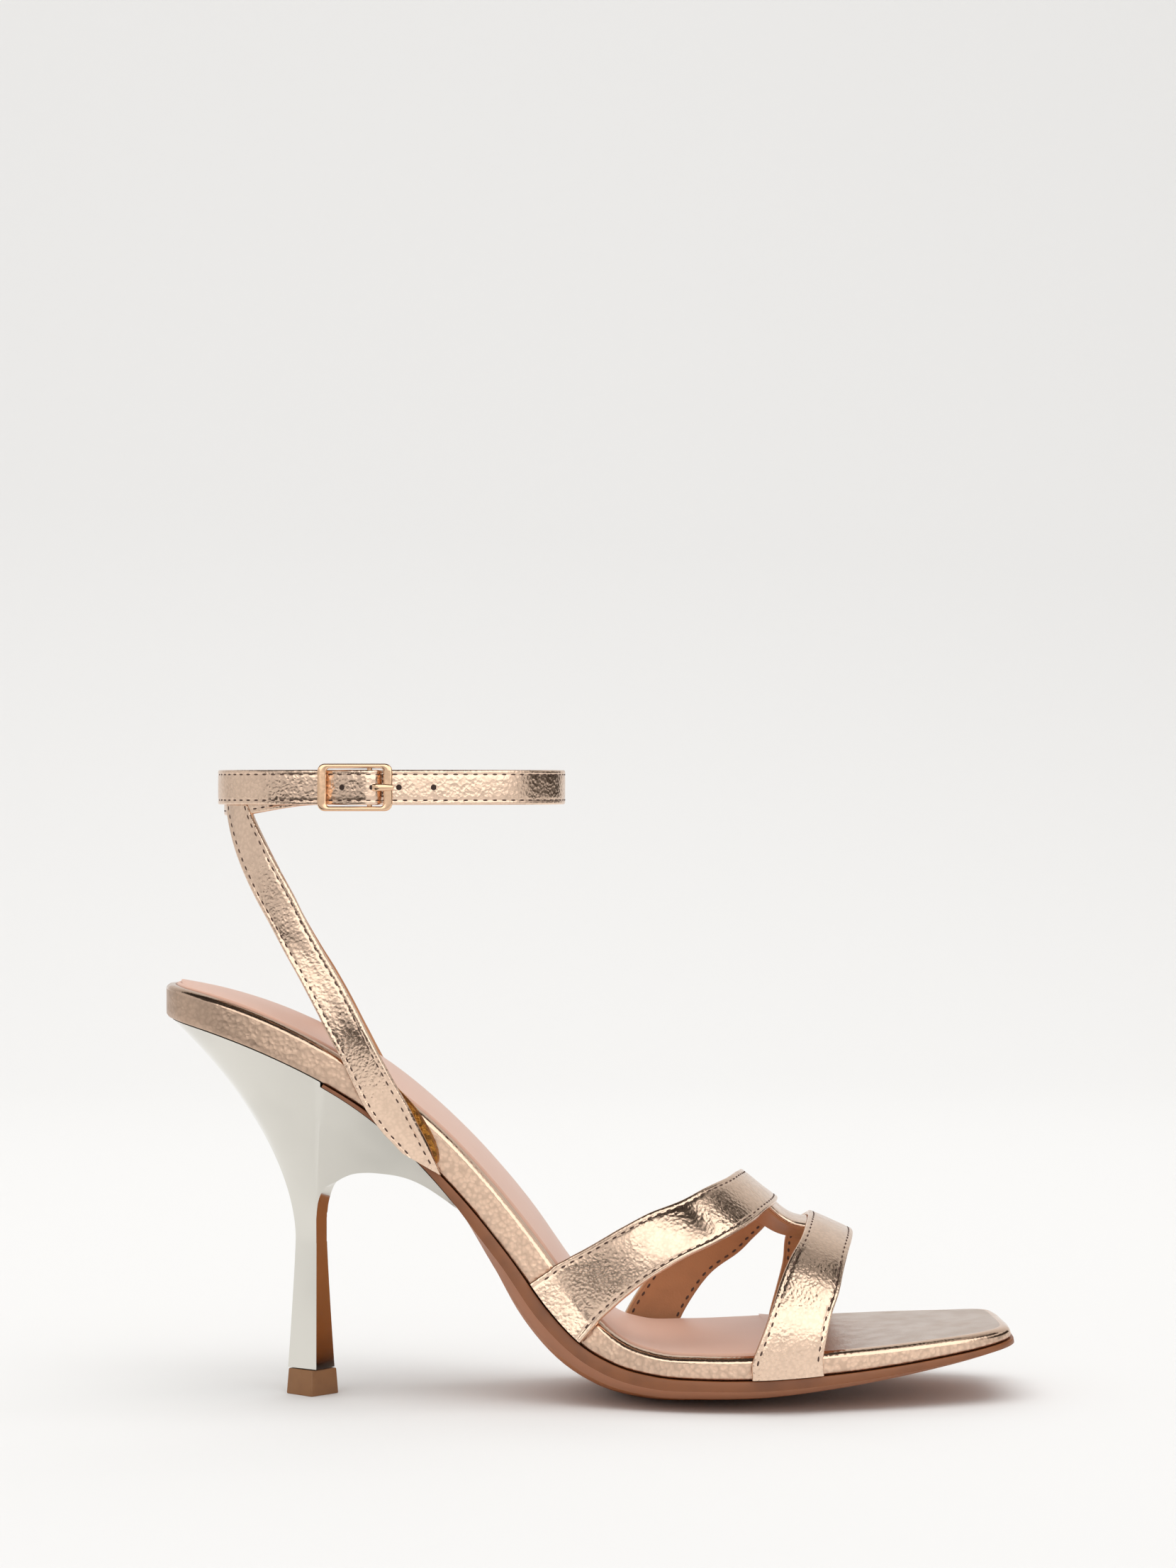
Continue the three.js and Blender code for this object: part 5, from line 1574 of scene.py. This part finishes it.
class Ankle:
    """The ankle loop, the strap's layers and weave through the buckle, and the sling's legs."""

    def __init__(self, last):
        self.last = last
        self.size = sizes("sandal_straps")
        self.buckle = sizes("sandal_buckle")
        size, buckle = self.size, self.buckle
        self.power = 2.3
        self.z = float(last.deck(last.back) + last.wrap(last.back)) + size.ankle_rise
        self.centre = np.array([size.ankle_middle, 0, self.z])
        start = math.acos(-((2 * buckle.behind / size.ankle_length) ** (self.power / 2)))
        steps = 1440
        angles = start - (np.arange(2 * steps + 1) - steps) * 2 * np.pi / steps
        points = self.loop(angles, 0)
        run = np.concatenate([[0], np.cumsum(np.linalg.norm(np.diff(points, axis=0), axis=1))])
        self.girth = run[steps]
        self.angle_at = curve_through(run - self.girth, angles)
        clearance = last.sole.clearance
        thick = size.ankle_thickness
        self.layer = 2 * thick + clearance
        self.bar_floor = self.layer + clearance
        self.pin_height = self.bar_floor + 0.1
        self.over_pin = self.pin_height + buckle.pin_radius + clearance + thick
        inner = buckle.frame_length / 2 - buckle.side_bar
        pin = buckle.pin_forward
        self.weave = curve_through(
            [-buckle.frame_length, -inner - buckle.side_bar, -inner + 0.2, 0, pin, pin + 1.5, inner - 0.2,
             buckle.frame_length / 2, buckle.frame_length],
            [self.layer, self.layer, self.layer + 0.05, self.over_pin - 0.6, self.over_pin + 0.1,
             self.over_pin - 0.5, self.layer, self.layer - 0.4, thick],
        )
        self.fold = pin + 2

    def loop(self, angle, outward):
        size = self.size
        power = 2 / self.power
        c, s = np.cos(angle), np.sin(angle)
        x = size.ankle_length / 2 * np.sign(c) * np.abs(c) ** power
        y = -size.ankle_breadth / 2 * np.sign(s) * np.abs(s) ** power
        slope_x = np.sign(c) * np.abs(c) ** (2 - power) / (size.ankle_length / 2)
        slope_y = -np.sign(s) * np.abs(s) ** (2 - power) / (size.ankle_breadth / 2)
        steep = np.hypot(slope_x, slope_y)
        x = size.ankle_middle + x + outward * slope_x / steep
        y = y + outward * slope_y / steep
        return np.stack([x, y], axis=-1)

    def strap(self, start=None, end=None):
        """The strap's outer face between two lengths from the buckle, positive towards the front."""
        size = self.size
        start = self.fold if start is None else start
        end = -self.girth - size.free_end if end is None else end

        def surface(t, part):
            run = start + (end - start) * t
            second = run < -self.girth / 2
            near = np.where(second, run + self.girth, run)
            over = self.weave(np.maximum(near, -self.buckle.frame_length))
            outward = np.where(second & (near <= self.buckle.frame_length), over, size.ankle_thickness)
            share_back = -near / size.free_end
            dip = smooth_step(0.2, 0.8, share_back) * (1 - smooth_step(1.0, 1.8, share_back))
            drop = np.where(second, 0, size.ankle_dip * dip)
            point = self.loop(self.angle_at(near), outward)
            z = self.z - drop + (0.5 - part) * size.ankle_width
            return np.stack([point[..., 0], point[..., 1], z], axis=-1)

        return surface

    def sling(self, side):
        last, size = self.last, self.size
        count = len(SLING_ROWS)
        even = np.arange(count)
        tables = [curve_through(even, column) for column in zip(*SLING_ROWS)]
        foot_x = last.along(0.302)
        foot_z = float(last.deck(foot_x)) - size.sling_foot_drop
        leg_half = 0.267 * last.size.shoe_length
        leg_middle = last.along(0.27)
        inset = 0.2
        wrap = last.sole.wrap_height
        stand_off = last.sole.sole_margin + last.sole.clearance + size.sling_thickness

        def surface(t, part):
            i = t * (count - 1)
            rear_up, rear, front_up, front = (table(i) for table in tables)
            up = rear_up + (front_up - rear_up) * part
            behind = rear + (front - rear) * part
            toward = part * part
            climb = np.clip(up, 0, 1)
            top = size.ankle_length / 2 + size.ankle_thickness - inset
            half = leg_half + (top - leg_half) * climb
            set_back = size.medial_sling_back * (1 - np.abs(behind) ** 8) if side > 0 else 0 * behind
            x = leg_middle + (size.ankle_middle - leg_middle) * climb - behind * half - set_back
            z = foot_z + up * (self.z - foot_z)
            low = np.minimum(z, last.deck(x) + 2 * wrap)
            station, height = self.on_side(x, low)
            beside = last.reach[side](station) + stand_off
            breadth = size.ankle_breadth / 2 + size.ankle_thickness - inset
            around = np.minimum(np.abs(behind + set_back / half), 1)
            round_y = breadth * (1 - around**self.power) ** (1 / self.power)
            over_rim = z - last.deck(x) - wrap
            free = smooth_step(wrap * 0.3, wrap * 3, over_rim)
            lifted = smooth_step(0, wrap * 0.8, height) * (1 - smooth_step(wrap, wrap * 4, over_rim))
            y = beside + (round_y - beside) * free + size.sling_stand_off * lifted * toward
            return np.stack([x, side * y, z], axis=-1)

        return surface

    def on_side(self, x, z):
        """The station and the height over the deck of a point beside the footbed."""
        last = self.last
        station, height = x, 0 * x
        for _ in range(16):
            height = (z - last.deck(station)) / np.cos(last.lean(station))
            station = station + 0.5 * (x - height * np.sin(last.lean(station)) - station)
        return station, height

    def shaded_fold_lining(self, side):
        """The amber lining that shows between the sling's standing front edge and the rand, as a sheet whose
        dark colour is painted shade of that gap.
        """
        last = self.last
        leg = self.sling(side)

        def surface(t, part):
            edge = leg(0.05 + 0.27 * t, 0 * t + 1.0)
            x = edge[..., 0] - 2.2 + (2.2 + 3.0 * np.sin(np.pi * t**0.8) ** 0.8) * part
            z = edge[..., 2]
            station, _ = self.on_side(x, z)
            beside = last.reach[side](station) + last.sole.sole_margin + last.sole.clearance + 0.35
            return np.stack([x, side * beside, z], axis=-1)

        return surface

    def on_buckle(self):
        """The buckle's own axes: X along the strap to the front, Y up and Z away from the ankle."""
        ahead = self.loop(self.angle_at(0.5), 0)
        behind = self.loop(self.angle_at(-0.5), 0)
        along = np.append(unit(ahead - behind), 0.0)
        up = np.array([0.0, 0.0, 1.0])
        out = np.cross(along, up)
        middle = self.loop(self.angle_at(0.0), 0)
        return np.stack([along, up, out], axis=1), np.array([middle[0], middle[1], self.z])


def make_ankle_straps(last):
    ankle = Ankle(last)
    size = ankle.size
    seam_inset = 1.15
    strap = Band(ankle.strap(), 760, size.ankle_thickness, ankle.centre, 0.4)
    skin = Skin()
    strap.build(skin, seam_inset, 0.07, 0.05)
    skin.build("ankle_strap", [finish("strap"), finish("lining")], "ankle_straps", 55)
    sew("ankle_strap", strap, size, "ankle_straps", distance=seam_inset, ends=(9.0, 1.6))
    make_strap_holes(ankle)
    middle = (last.along(0.25), 0, last.size.seat_rise)
    # Amber sheets whose dark colour is painted shade of the gap in front of each sling.
    for side, name in ((-1, "lateral_fold"), (1, "medial_fold")):
        fold = Band(ankle.shaded_fold_lining(side), 40, 0.5, middle, 0.2)
        skin = Skin()
        fold.build(skin, 0.5, 0.0, 0.0, 0.0)
        skin.build(name, [finish("amber"), finish("lining")], "ankle_straps", 55)
    for side, name in ((-1, "lateral_sling"), (1, "medial_sling")):
        leg = Band(ankle.sling(side), 150, size.sling_thickness, middle, 0.45)
        skin = Skin()
        leg.build(skin, size.stitch_inset, 0.1, 0.08)
        skin.build(name, [finish("strap"), finish("lining")], "ankle_straps", 55)
        sew(name, leg, size, "ankle_straps", ends=(1.5, 5.5))
    return ankle


def make_strap_holes(ankle):
    """Painted shadow of the strap's punched holes: dark round marks, each a shallow bead on the strap's outer
    layer.
    """
    radius, height, lift = 0.75, 0.12, 0.04
    skin = Skin()
    for run in STRAP_HOLES:
        here = run - ankle.girth
        second = ankle.strap(here - 0.5, here + 0.5)
        ends = second(np.array([0.0, 1.0]), np.array([0.5, 0.5]))
        along = unit(ends[1] - ends[0])
        across = np.array([0.0, 0.0, 1.0])
        out = np.cross(along, across)
        out = out if out @ (ends[0] - ankle.centre) > 0 else -out
        bead(skin, ends.mean(axis=0) + out * lift, along * radius, across * radius, out * height)
    skin.build("strap_holes", [finish("hole")], "ankle_straps", 60)


# Buckle


def rounded_rectangle(length_mm, height_mm, radius, steps=9):
    points = []
    for quarter, (sx, sy) in enumerate(((1, 1), (-1, 1), (-1, -1), (1, -1))):
        for a in np.linspace(0, np.pi / 2, steps):
            turn = a + quarter * np.pi / 2
            x = sx * (length_mm / 2 - radius) + radius * math.cos(turn)
            y = sy * (height_mm / 2 - radius) + radius * math.sin(turn)
            points.append((x, y))
    return np.array(points)


def to_world(points, axes, origin):
    return np.asarray(points, float) @ axes.T + origin


def make_buckle(last):
    ankle = Ankle(last)
    size = ankle.buckle
    axes, origin = ankle.on_buckle()
    bevel = 0.42
    outer_size = (size.frame_length, size.frame_height, 1.9)
    inner_size = (size.frame_length - 2 * size.side_bar, size.frame_height - 2 * size.rail, 0.8)
    section = []
    for a in np.linspace(0, np.pi / 2, 6):
        section.append(("outer", bevel * (1 - math.cos(a)), size.depth - bevel + bevel * math.sin(a)))
    for a in np.linspace(np.pi / 2, 0, 6):
        section.append(("inner", bevel * (1 - math.cos(a)), size.depth - bevel + bevel * math.sin(a)))
    for a in np.linspace(0, np.pi / 2, 6):
        section.append(("inner", bevel * (1 - math.cos(a)), bevel - bevel * math.sin(a)))
    for a in np.linspace(np.pi / 2, 0, 6):
        section.append(("outer", bevel * (1 - math.cos(a)), bevel - bevel * math.sin(a)))
    loops = []
    for which, inset, z in section:
        length_mm, height_mm, radius = outer_size if which == "outer" else inner_size
        change = -inset if which == "outer" else inset
        outline = rounded_rectangle(length_mm + 2 * change, height_mm + 2 * change, max(radius + change, 0.2))
        loops.append(np.column_stack([outline, np.full(len(outline), ankle.bar_floor + z)]))
    skin = Skin()
    first = None
    before = None
    for loop in loops:
        start = skin.add_points(to_world(loop, axes, origin))
        here = list(range(start, start + len(loop)))
        if before is not None:
            skin.join_loops(before, here)
        else:
            first = here
        before = here
    skin.join_loops(before, first)
    skin.build("buckle_ring", [finish("buckle")], "buckle_frame", 50)
    pin = Skin()
    half = (size.frame_height - size.rail) / 2
    rod(pin, (size.pin_forward, -half, ankle.pin_height), (size.pin_forward, half, ankle.pin_height),
        size.pin_radius, axes, origin)
    pin.build("buckle_centre_bar", [finish("buckle")], "buckle_frame", 50)
    make_prong(ankle, axes, origin)


def rod(skin, start, end, radius, axes, origin, sides=24):
    start, end = np.array(start, float), np.array(end, float)
    along = unit(end - start)
    side = np.array([1.0, 0, 0]) if abs(along[0]) < 0.9 else np.array([0, 1.0, 0])
    side = unit(np.cross(along, side))
    other = np.cross(along, side)
    loops = []
    for point in (start, end):
        circle = [
            point + radius * (side * math.cos(a) + other * math.sin(a))
            for a in np.linspace(0, 2 * math.pi, sides, endpoint=False)
        ]
        first = skin.add_points(to_world(circle, axes, origin))
        loops.append(list(range(first, first + sides)))
    skin.join_loops(*loops)
    skin.add_face(loops[0][::-1])
    skin.add_face(loops[1])


def make_prong(ankle, axes, origin):
    size = ankle.buckle
    eye_inner = size.pin_radius + 0.25
    rest = ankle.bar_floor + size.depth + ankle.last.sole.clearance - ankle.pin_height
    reach = size.frame_length / 2 - size.pin_forward + 0.5
    thick = size.prong_thickness
    spine = through_points(
        [(0.0, eye_inner + 0.4), (0.8, eye_inner + 0.75), (1.9, rest + 0.45), (reach * 0.6, rest + 0.5),
         (reach - 0.8, rest + 0.47), (reach, rest + 0.4)],
        10,
    )
    skin = Skin()
    along = unit(np.gradient(spine, axis=0))
    loop = None
    count = len(spine)
    for k, (point, direction) in enumerate(zip(spine, along)):
        part = k / (count - 1)
        taper = 1 - 0.35 * max(part - 0.6, 0) / 0.4
        blunt = 1.0 if part < 0.94 else math.sqrt(max(1 - ((part - 0.94) / 0.062) ** 2, 0.02))
        lift = np.array([-direction[1], direction[0]])
        ring = []
        for a in np.linspace(0, 2 * math.pi, 20, endpoint=False):
            wide = size.prong_width / 2 * taper * blunt * np.sign(math.cos(a)) * abs(math.cos(a)) ** 0.6
            high = thick / 2 * blunt * np.sign(math.sin(a)) * abs(math.sin(a)) ** 0.6
            spot = point + lift * high
            ring.append((size.pin_forward + spot[0], wide, ankle.pin_height + spot[1]))
        start = skin.add_points(to_world(ring, axes, origin))
        here = list(range(start, start + len(ring)))
        if loop is None:
            skin.add_face(here[::-1])
        else:
            skin.join_loops(loop, here)
        loop = here
    skin.add_face(loop)
    half = size.prong_width / 2
    eye_outer = eye_inner + 0.8
    eye_sides = 28
    rounds = []
    for radius, side in ((eye_inner, -half), (eye_outer, -half), (eye_outer, half), (eye_inner, half)):
        circle = [
            (size.pin_forward + radius * math.cos(a), side, ankle.pin_height + radius * math.sin(a))
            for a in np.linspace(0, 2 * math.pi, eye_sides, endpoint=False)
        ]
        start = skin.add_points(to_world(circle, axes, origin))
        rounds.append(list(range(start, start + eye_sides)))
    for lower, upper in zip(rounds, rounds[1:] + rounds[:1]):
        skin.join_loops(lower, upper)
    return skin.build("buckle_prong", [finish("buckle")], "buckle_prong", 50)


# Stage


# Cards on a drum round the sandal, seen only in its shiny pieces: angles over the floor in degrees,
# and ends and drum in metres. A glow of None is a white card, as bright as the stage says
DRUM_REACH = 1.25
DRUM_HEIGHT = 0.05
CardRow = namedtuple("CardRow", "name low high left right glow")
CARD_ROWS = [
    CardRow("side_card", 13, 39, -0.95, -0.4, None),
    CardRow("front_card", 6, 39, -0.4, 1.6, None),
    CardRow("toe_card", 39, 71, 0.6, 1.6, None),
    CardRow("ceiling_flag", 40, 72, -1.6, 0.57, 0.0),
    CardRow("top_flag", 73, 116, -1.6, 0.57, 0.0),
    CardRow("toe_flag", 72, 116, 0.57, 0.9, 0.4),
    CardRow("far_flag", 73, 116, 0.9, 1.6, 0.0),
]


def make_stage():
    stage = bpy.context.scene.sandal_stage
    scene = bpy.context.scene
    scene.view_settings.view_transform = "Standard"
    make_floor()
    soft_box("key_soft_box", (0.0, -0.55, 1.5), (0.05, 0, 0.05), 1.6, 0.9, stage.key_power)
    soft_box("back_soft_box", (0.2, 1.1, 1.1), (0.05, 0, 0.06), 1.6, 0.6, stage.back_power)
    soft_box("backdrop_wash", (0, 0.3, 2.3), (0, 2.1, 0.4), 3.0, 1.0, stage.wash_power)
    for row in CARD_ROWS:
        turns = np.radians([row.low, row.high])
        edges = [(-DRUM_REACH * math.cos(a), DRUM_HEIGHT + DRUM_REACH * math.sin(a)) for a in turns]
        points = [(x, y, z) for y, z in edges for x in (row.left, row.right)]
        card(row.name, points, stage.card_glow if row.glow is None else row.glow)
    table = [(-0.5, -0.17, 0.002), (-0.7, -0.7, 0.002), (-0.7, -0.7, 0.075)]
    card("table_flag", [p for far, near, z in table for p in ((-0.95, far, z), (-0.13, near, z))], 0.0)
    card("side_flag", [(0.95, y, z) for z in (0.1, 0.4) for y in (-0.35, 0.9)], 0.0)
    world = bpy.data.worlds.new("Pale studio")
    world.use_nodes = True
    background = world.node_tree.nodes["Background"]
    background.inputs["Color"].default_value = (0.985, 0.975, 0.962, 1.0)
    background.inputs["Strength"].default_value = stage.ambience
    scene.world = world
    camera_data = bpy.data.cameras.new("Camera")
    camera_data.lens = stage.lens
    camera_data.sensor_width = 36.0
    camera_data.sensor_fit = "AUTO"
    camera_data.clip_end = 30.0
    camera = bpy.data.objects.new("Camera", camera_data)
    scene.collection.objects.link(camera)
    camera.location = (0.02680, -1.01013, 0.1566)
    azimuth = stage.azimuth
    forward = Vector((-math.sin(azimuth), math.cos(azimuth), 0))
    camera.rotation_euler = forward.to_track_quat("-Z", "Y").to_euler()
    scene.camera = camera


def sheet(name, points, paint):
    """A stage piece from pairs of points along it."""
    faces = [(2 * k, 2 * k + 1, 2 * k + 3, 2 * k + 2) for k in range(len(points) // 2 - 1)]
    mesh = bpy.data.meshes.new(name)
    mesh.from_pydata(points, [], faces)
    mesh.materials.append(paint.material)
    obj = bpy.data.objects.new(name, mesh)
    bpy.context.scene.collection.objects.link(obj)
    return obj


def card(name, points, glow):
    """A white or black card, seen only in the shiny pieces."""
    paint = Finish("White card" if glow else "Black card", (0.03, 0.022, 0.016), 0.9)
    paint.shader.inputs["Emission Color"].default_value = (1.0, 0.985, 0.96, 1.0)
    paint.shader.inputs["Emission Strength"].default_value = glow
    paint.bump(paint.noise(200, 2.0), 0.5)
    obj = sheet(name, points, paint)
    obj.visible_camera = obj.visible_diffuse = obj.visible_shadow = False


def make_floor():
    """A pale floor that curves up into a backdrop."""
    start, bend, top, reach = 1.0, 1.2, 4.0, 4.0
    profile = [(-3.0, 0.0), (start, 0.0)]
    for a in np.linspace(0, np.pi / 2, 24)[1:]:
        profile.append((start + bend * math.sin(a), bend - bend * math.cos(a)))
    profile.append((start + bend, top))
    paper = Finish("Floor paper", (0.75, 0.746, 0.739), 0.75)
    paper.bump(paper.noise(300, 2.0), 0.01)
    paper.shader.inputs["Specular IOR Level"].default_value = 0.15
    floor = sheet("floor", [(x, y, z) for y, z in profile for x in (-reach, reach)], paper)
    floor.data.shade_smooth()


def soft_box(name, location, target, width, height, power):
    data = bpy.data.lights.new(name, "AREA")
    data.shape = "RECTANGLE"
    data.size, data.size_y = width, height
    data.energy = power
    light = bpy.data.objects.new(name, data)
    bpy.context.scene.collection.objects.link(light)
    light.location = location
    light.rotation_euler = (Vector(target) - Vector(location)).to_track_quat("-Z", "Y").to_euler()
    light.visible_camera = light.visible_glossy = False


# Operators and panel


class SANDAL_OT_footbed(bpy.types.Operator):
    """Build the covered footbed with its rounded rim"""

    bl_idname = "sandal.footbed"
    bl_label = "Footbed"

    def execute(self, context):
        make_footbed(Last())
        return {"FINISHED"}


class SANDAL_OT_sock(bpy.types.Operator):
    """Build the padded sock on the footbed"""

    bl_idname = "sandal.sock"
    bl_label = "Sock"

    def execute(self, context):
        make_sock(Last())
        return {"FINISHED"}


class SANDAL_OT_outsole(bpy.types.Operator):
    """Build the outsole with its dark edge and tan bevel"""

    bl_idname = "sandal.outsole"
    bl_label = "Outsole"

    def execute(self, context):
        make_outsole(Last())
        return {"FINISHED"}


class SANDAL_OT_heel(bpy.types.Operator):
    """Build the plated heel and its tip"""

    bl_idname = "sandal.heel"
    bl_label = "Heel and tip"

    def execute(self, context):
        make_heel(Last())
        make_heel_tip()
        return {"FINISHED"}


class SANDAL_OT_vamp(bpy.types.Operator):
    """Build the two crossed forefoot straps, their bridge and their stitching"""

    bl_idname = "sandal.vamp"
    bl_label = "Forefoot straps"

    def execute(self, context):
        make_vamp(Last())
        return {"FINISHED"}


class SANDAL_OT_ankle(bpy.types.Operator):
    """Build the ankle strap and the sling's two legs"""

    bl_idname = "sandal.ankle"
    bl_label = "Ankle strap and sling"

    def execute(self, context):
        make_ankle_straps(Last())
        return {"FINISHED"}


class SANDAL_OT_buckle(bpy.types.Operator):
    """Build the buckle's frame, centre bar and prong"""

    bl_idname = "sandal.buckle"
    bl_label = "Buckle"

    def execute(self, context):
        make_buckle(Last())
        return {"FINISHED"}


class SANDAL_OT_stage(bpy.types.Operator):
    """Set up the pale floor, the soft lights and the camera"""

    bl_idname = "sandal.stage"
    bl_label = "Stage"

    def execute(self, context):
        make_stage()
        return {"FINISHED"}


class SANDAL_PT_sidebar(bpy.types.Panel):
    """Sizes, finishes and build steps of the sandal"""

    bl_idname = "SANDAL_PT_sidebar"
    bl_label = "Heeled sandal"
    bl_space_type = "VIEW_3D"
    bl_region_type = "UI"
    bl_category = "Sandal"

    def draw(self, context):
        layout = self.layout
        for group, kind in GROUPS.items():
            box = layout.box()
            box.label(text=kind.__name__[len("Sandal"):])
            holder = getattr(context.scene, group)
            for name in kind.__annotations__:
                box.prop(holder, name)
        for step in STEPS:
            layout.operator("sandal." + step)


STEPS = ("stage", "footbed", "sock", "outsole", "heel", "vamp", "ankle", "buckle")
OPERATORS = (
    SANDAL_OT_footbed,
    SANDAL_OT_sock,
    SANDAL_OT_outsole,
    SANDAL_OT_heel,
    SANDAL_OT_vamp,
    SANDAL_OT_ankle,
    SANDAL_OT_buckle,
    SANDAL_OT_stage,
)


def register():
    for group, kind in GROUPS.items():
        bpy.utils.register_class(kind)
        setattr(bpy.types.Scene, group, PointerProperty(type=kind))
    for kind in OPERATORS + (SANDAL_PT_sidebar,):
        bpy.utils.register_class(kind)


def unregister():
    for kind in reversed(OPERATORS + (SANDAL_PT_sidebar,)):
        bpy.utils.unregister_class(kind)
    for group, kind in reversed(GROUPS.items()):
        delattr(bpy.types.Scene, group)
        bpy.utils.unregister_class(kind)


def main():
    register()
    for step in STEPS:
        getattr(bpy.ops.sandal, step)()
    bpy.context.view_layer.update()


if __name__ == "__main__":
    main()
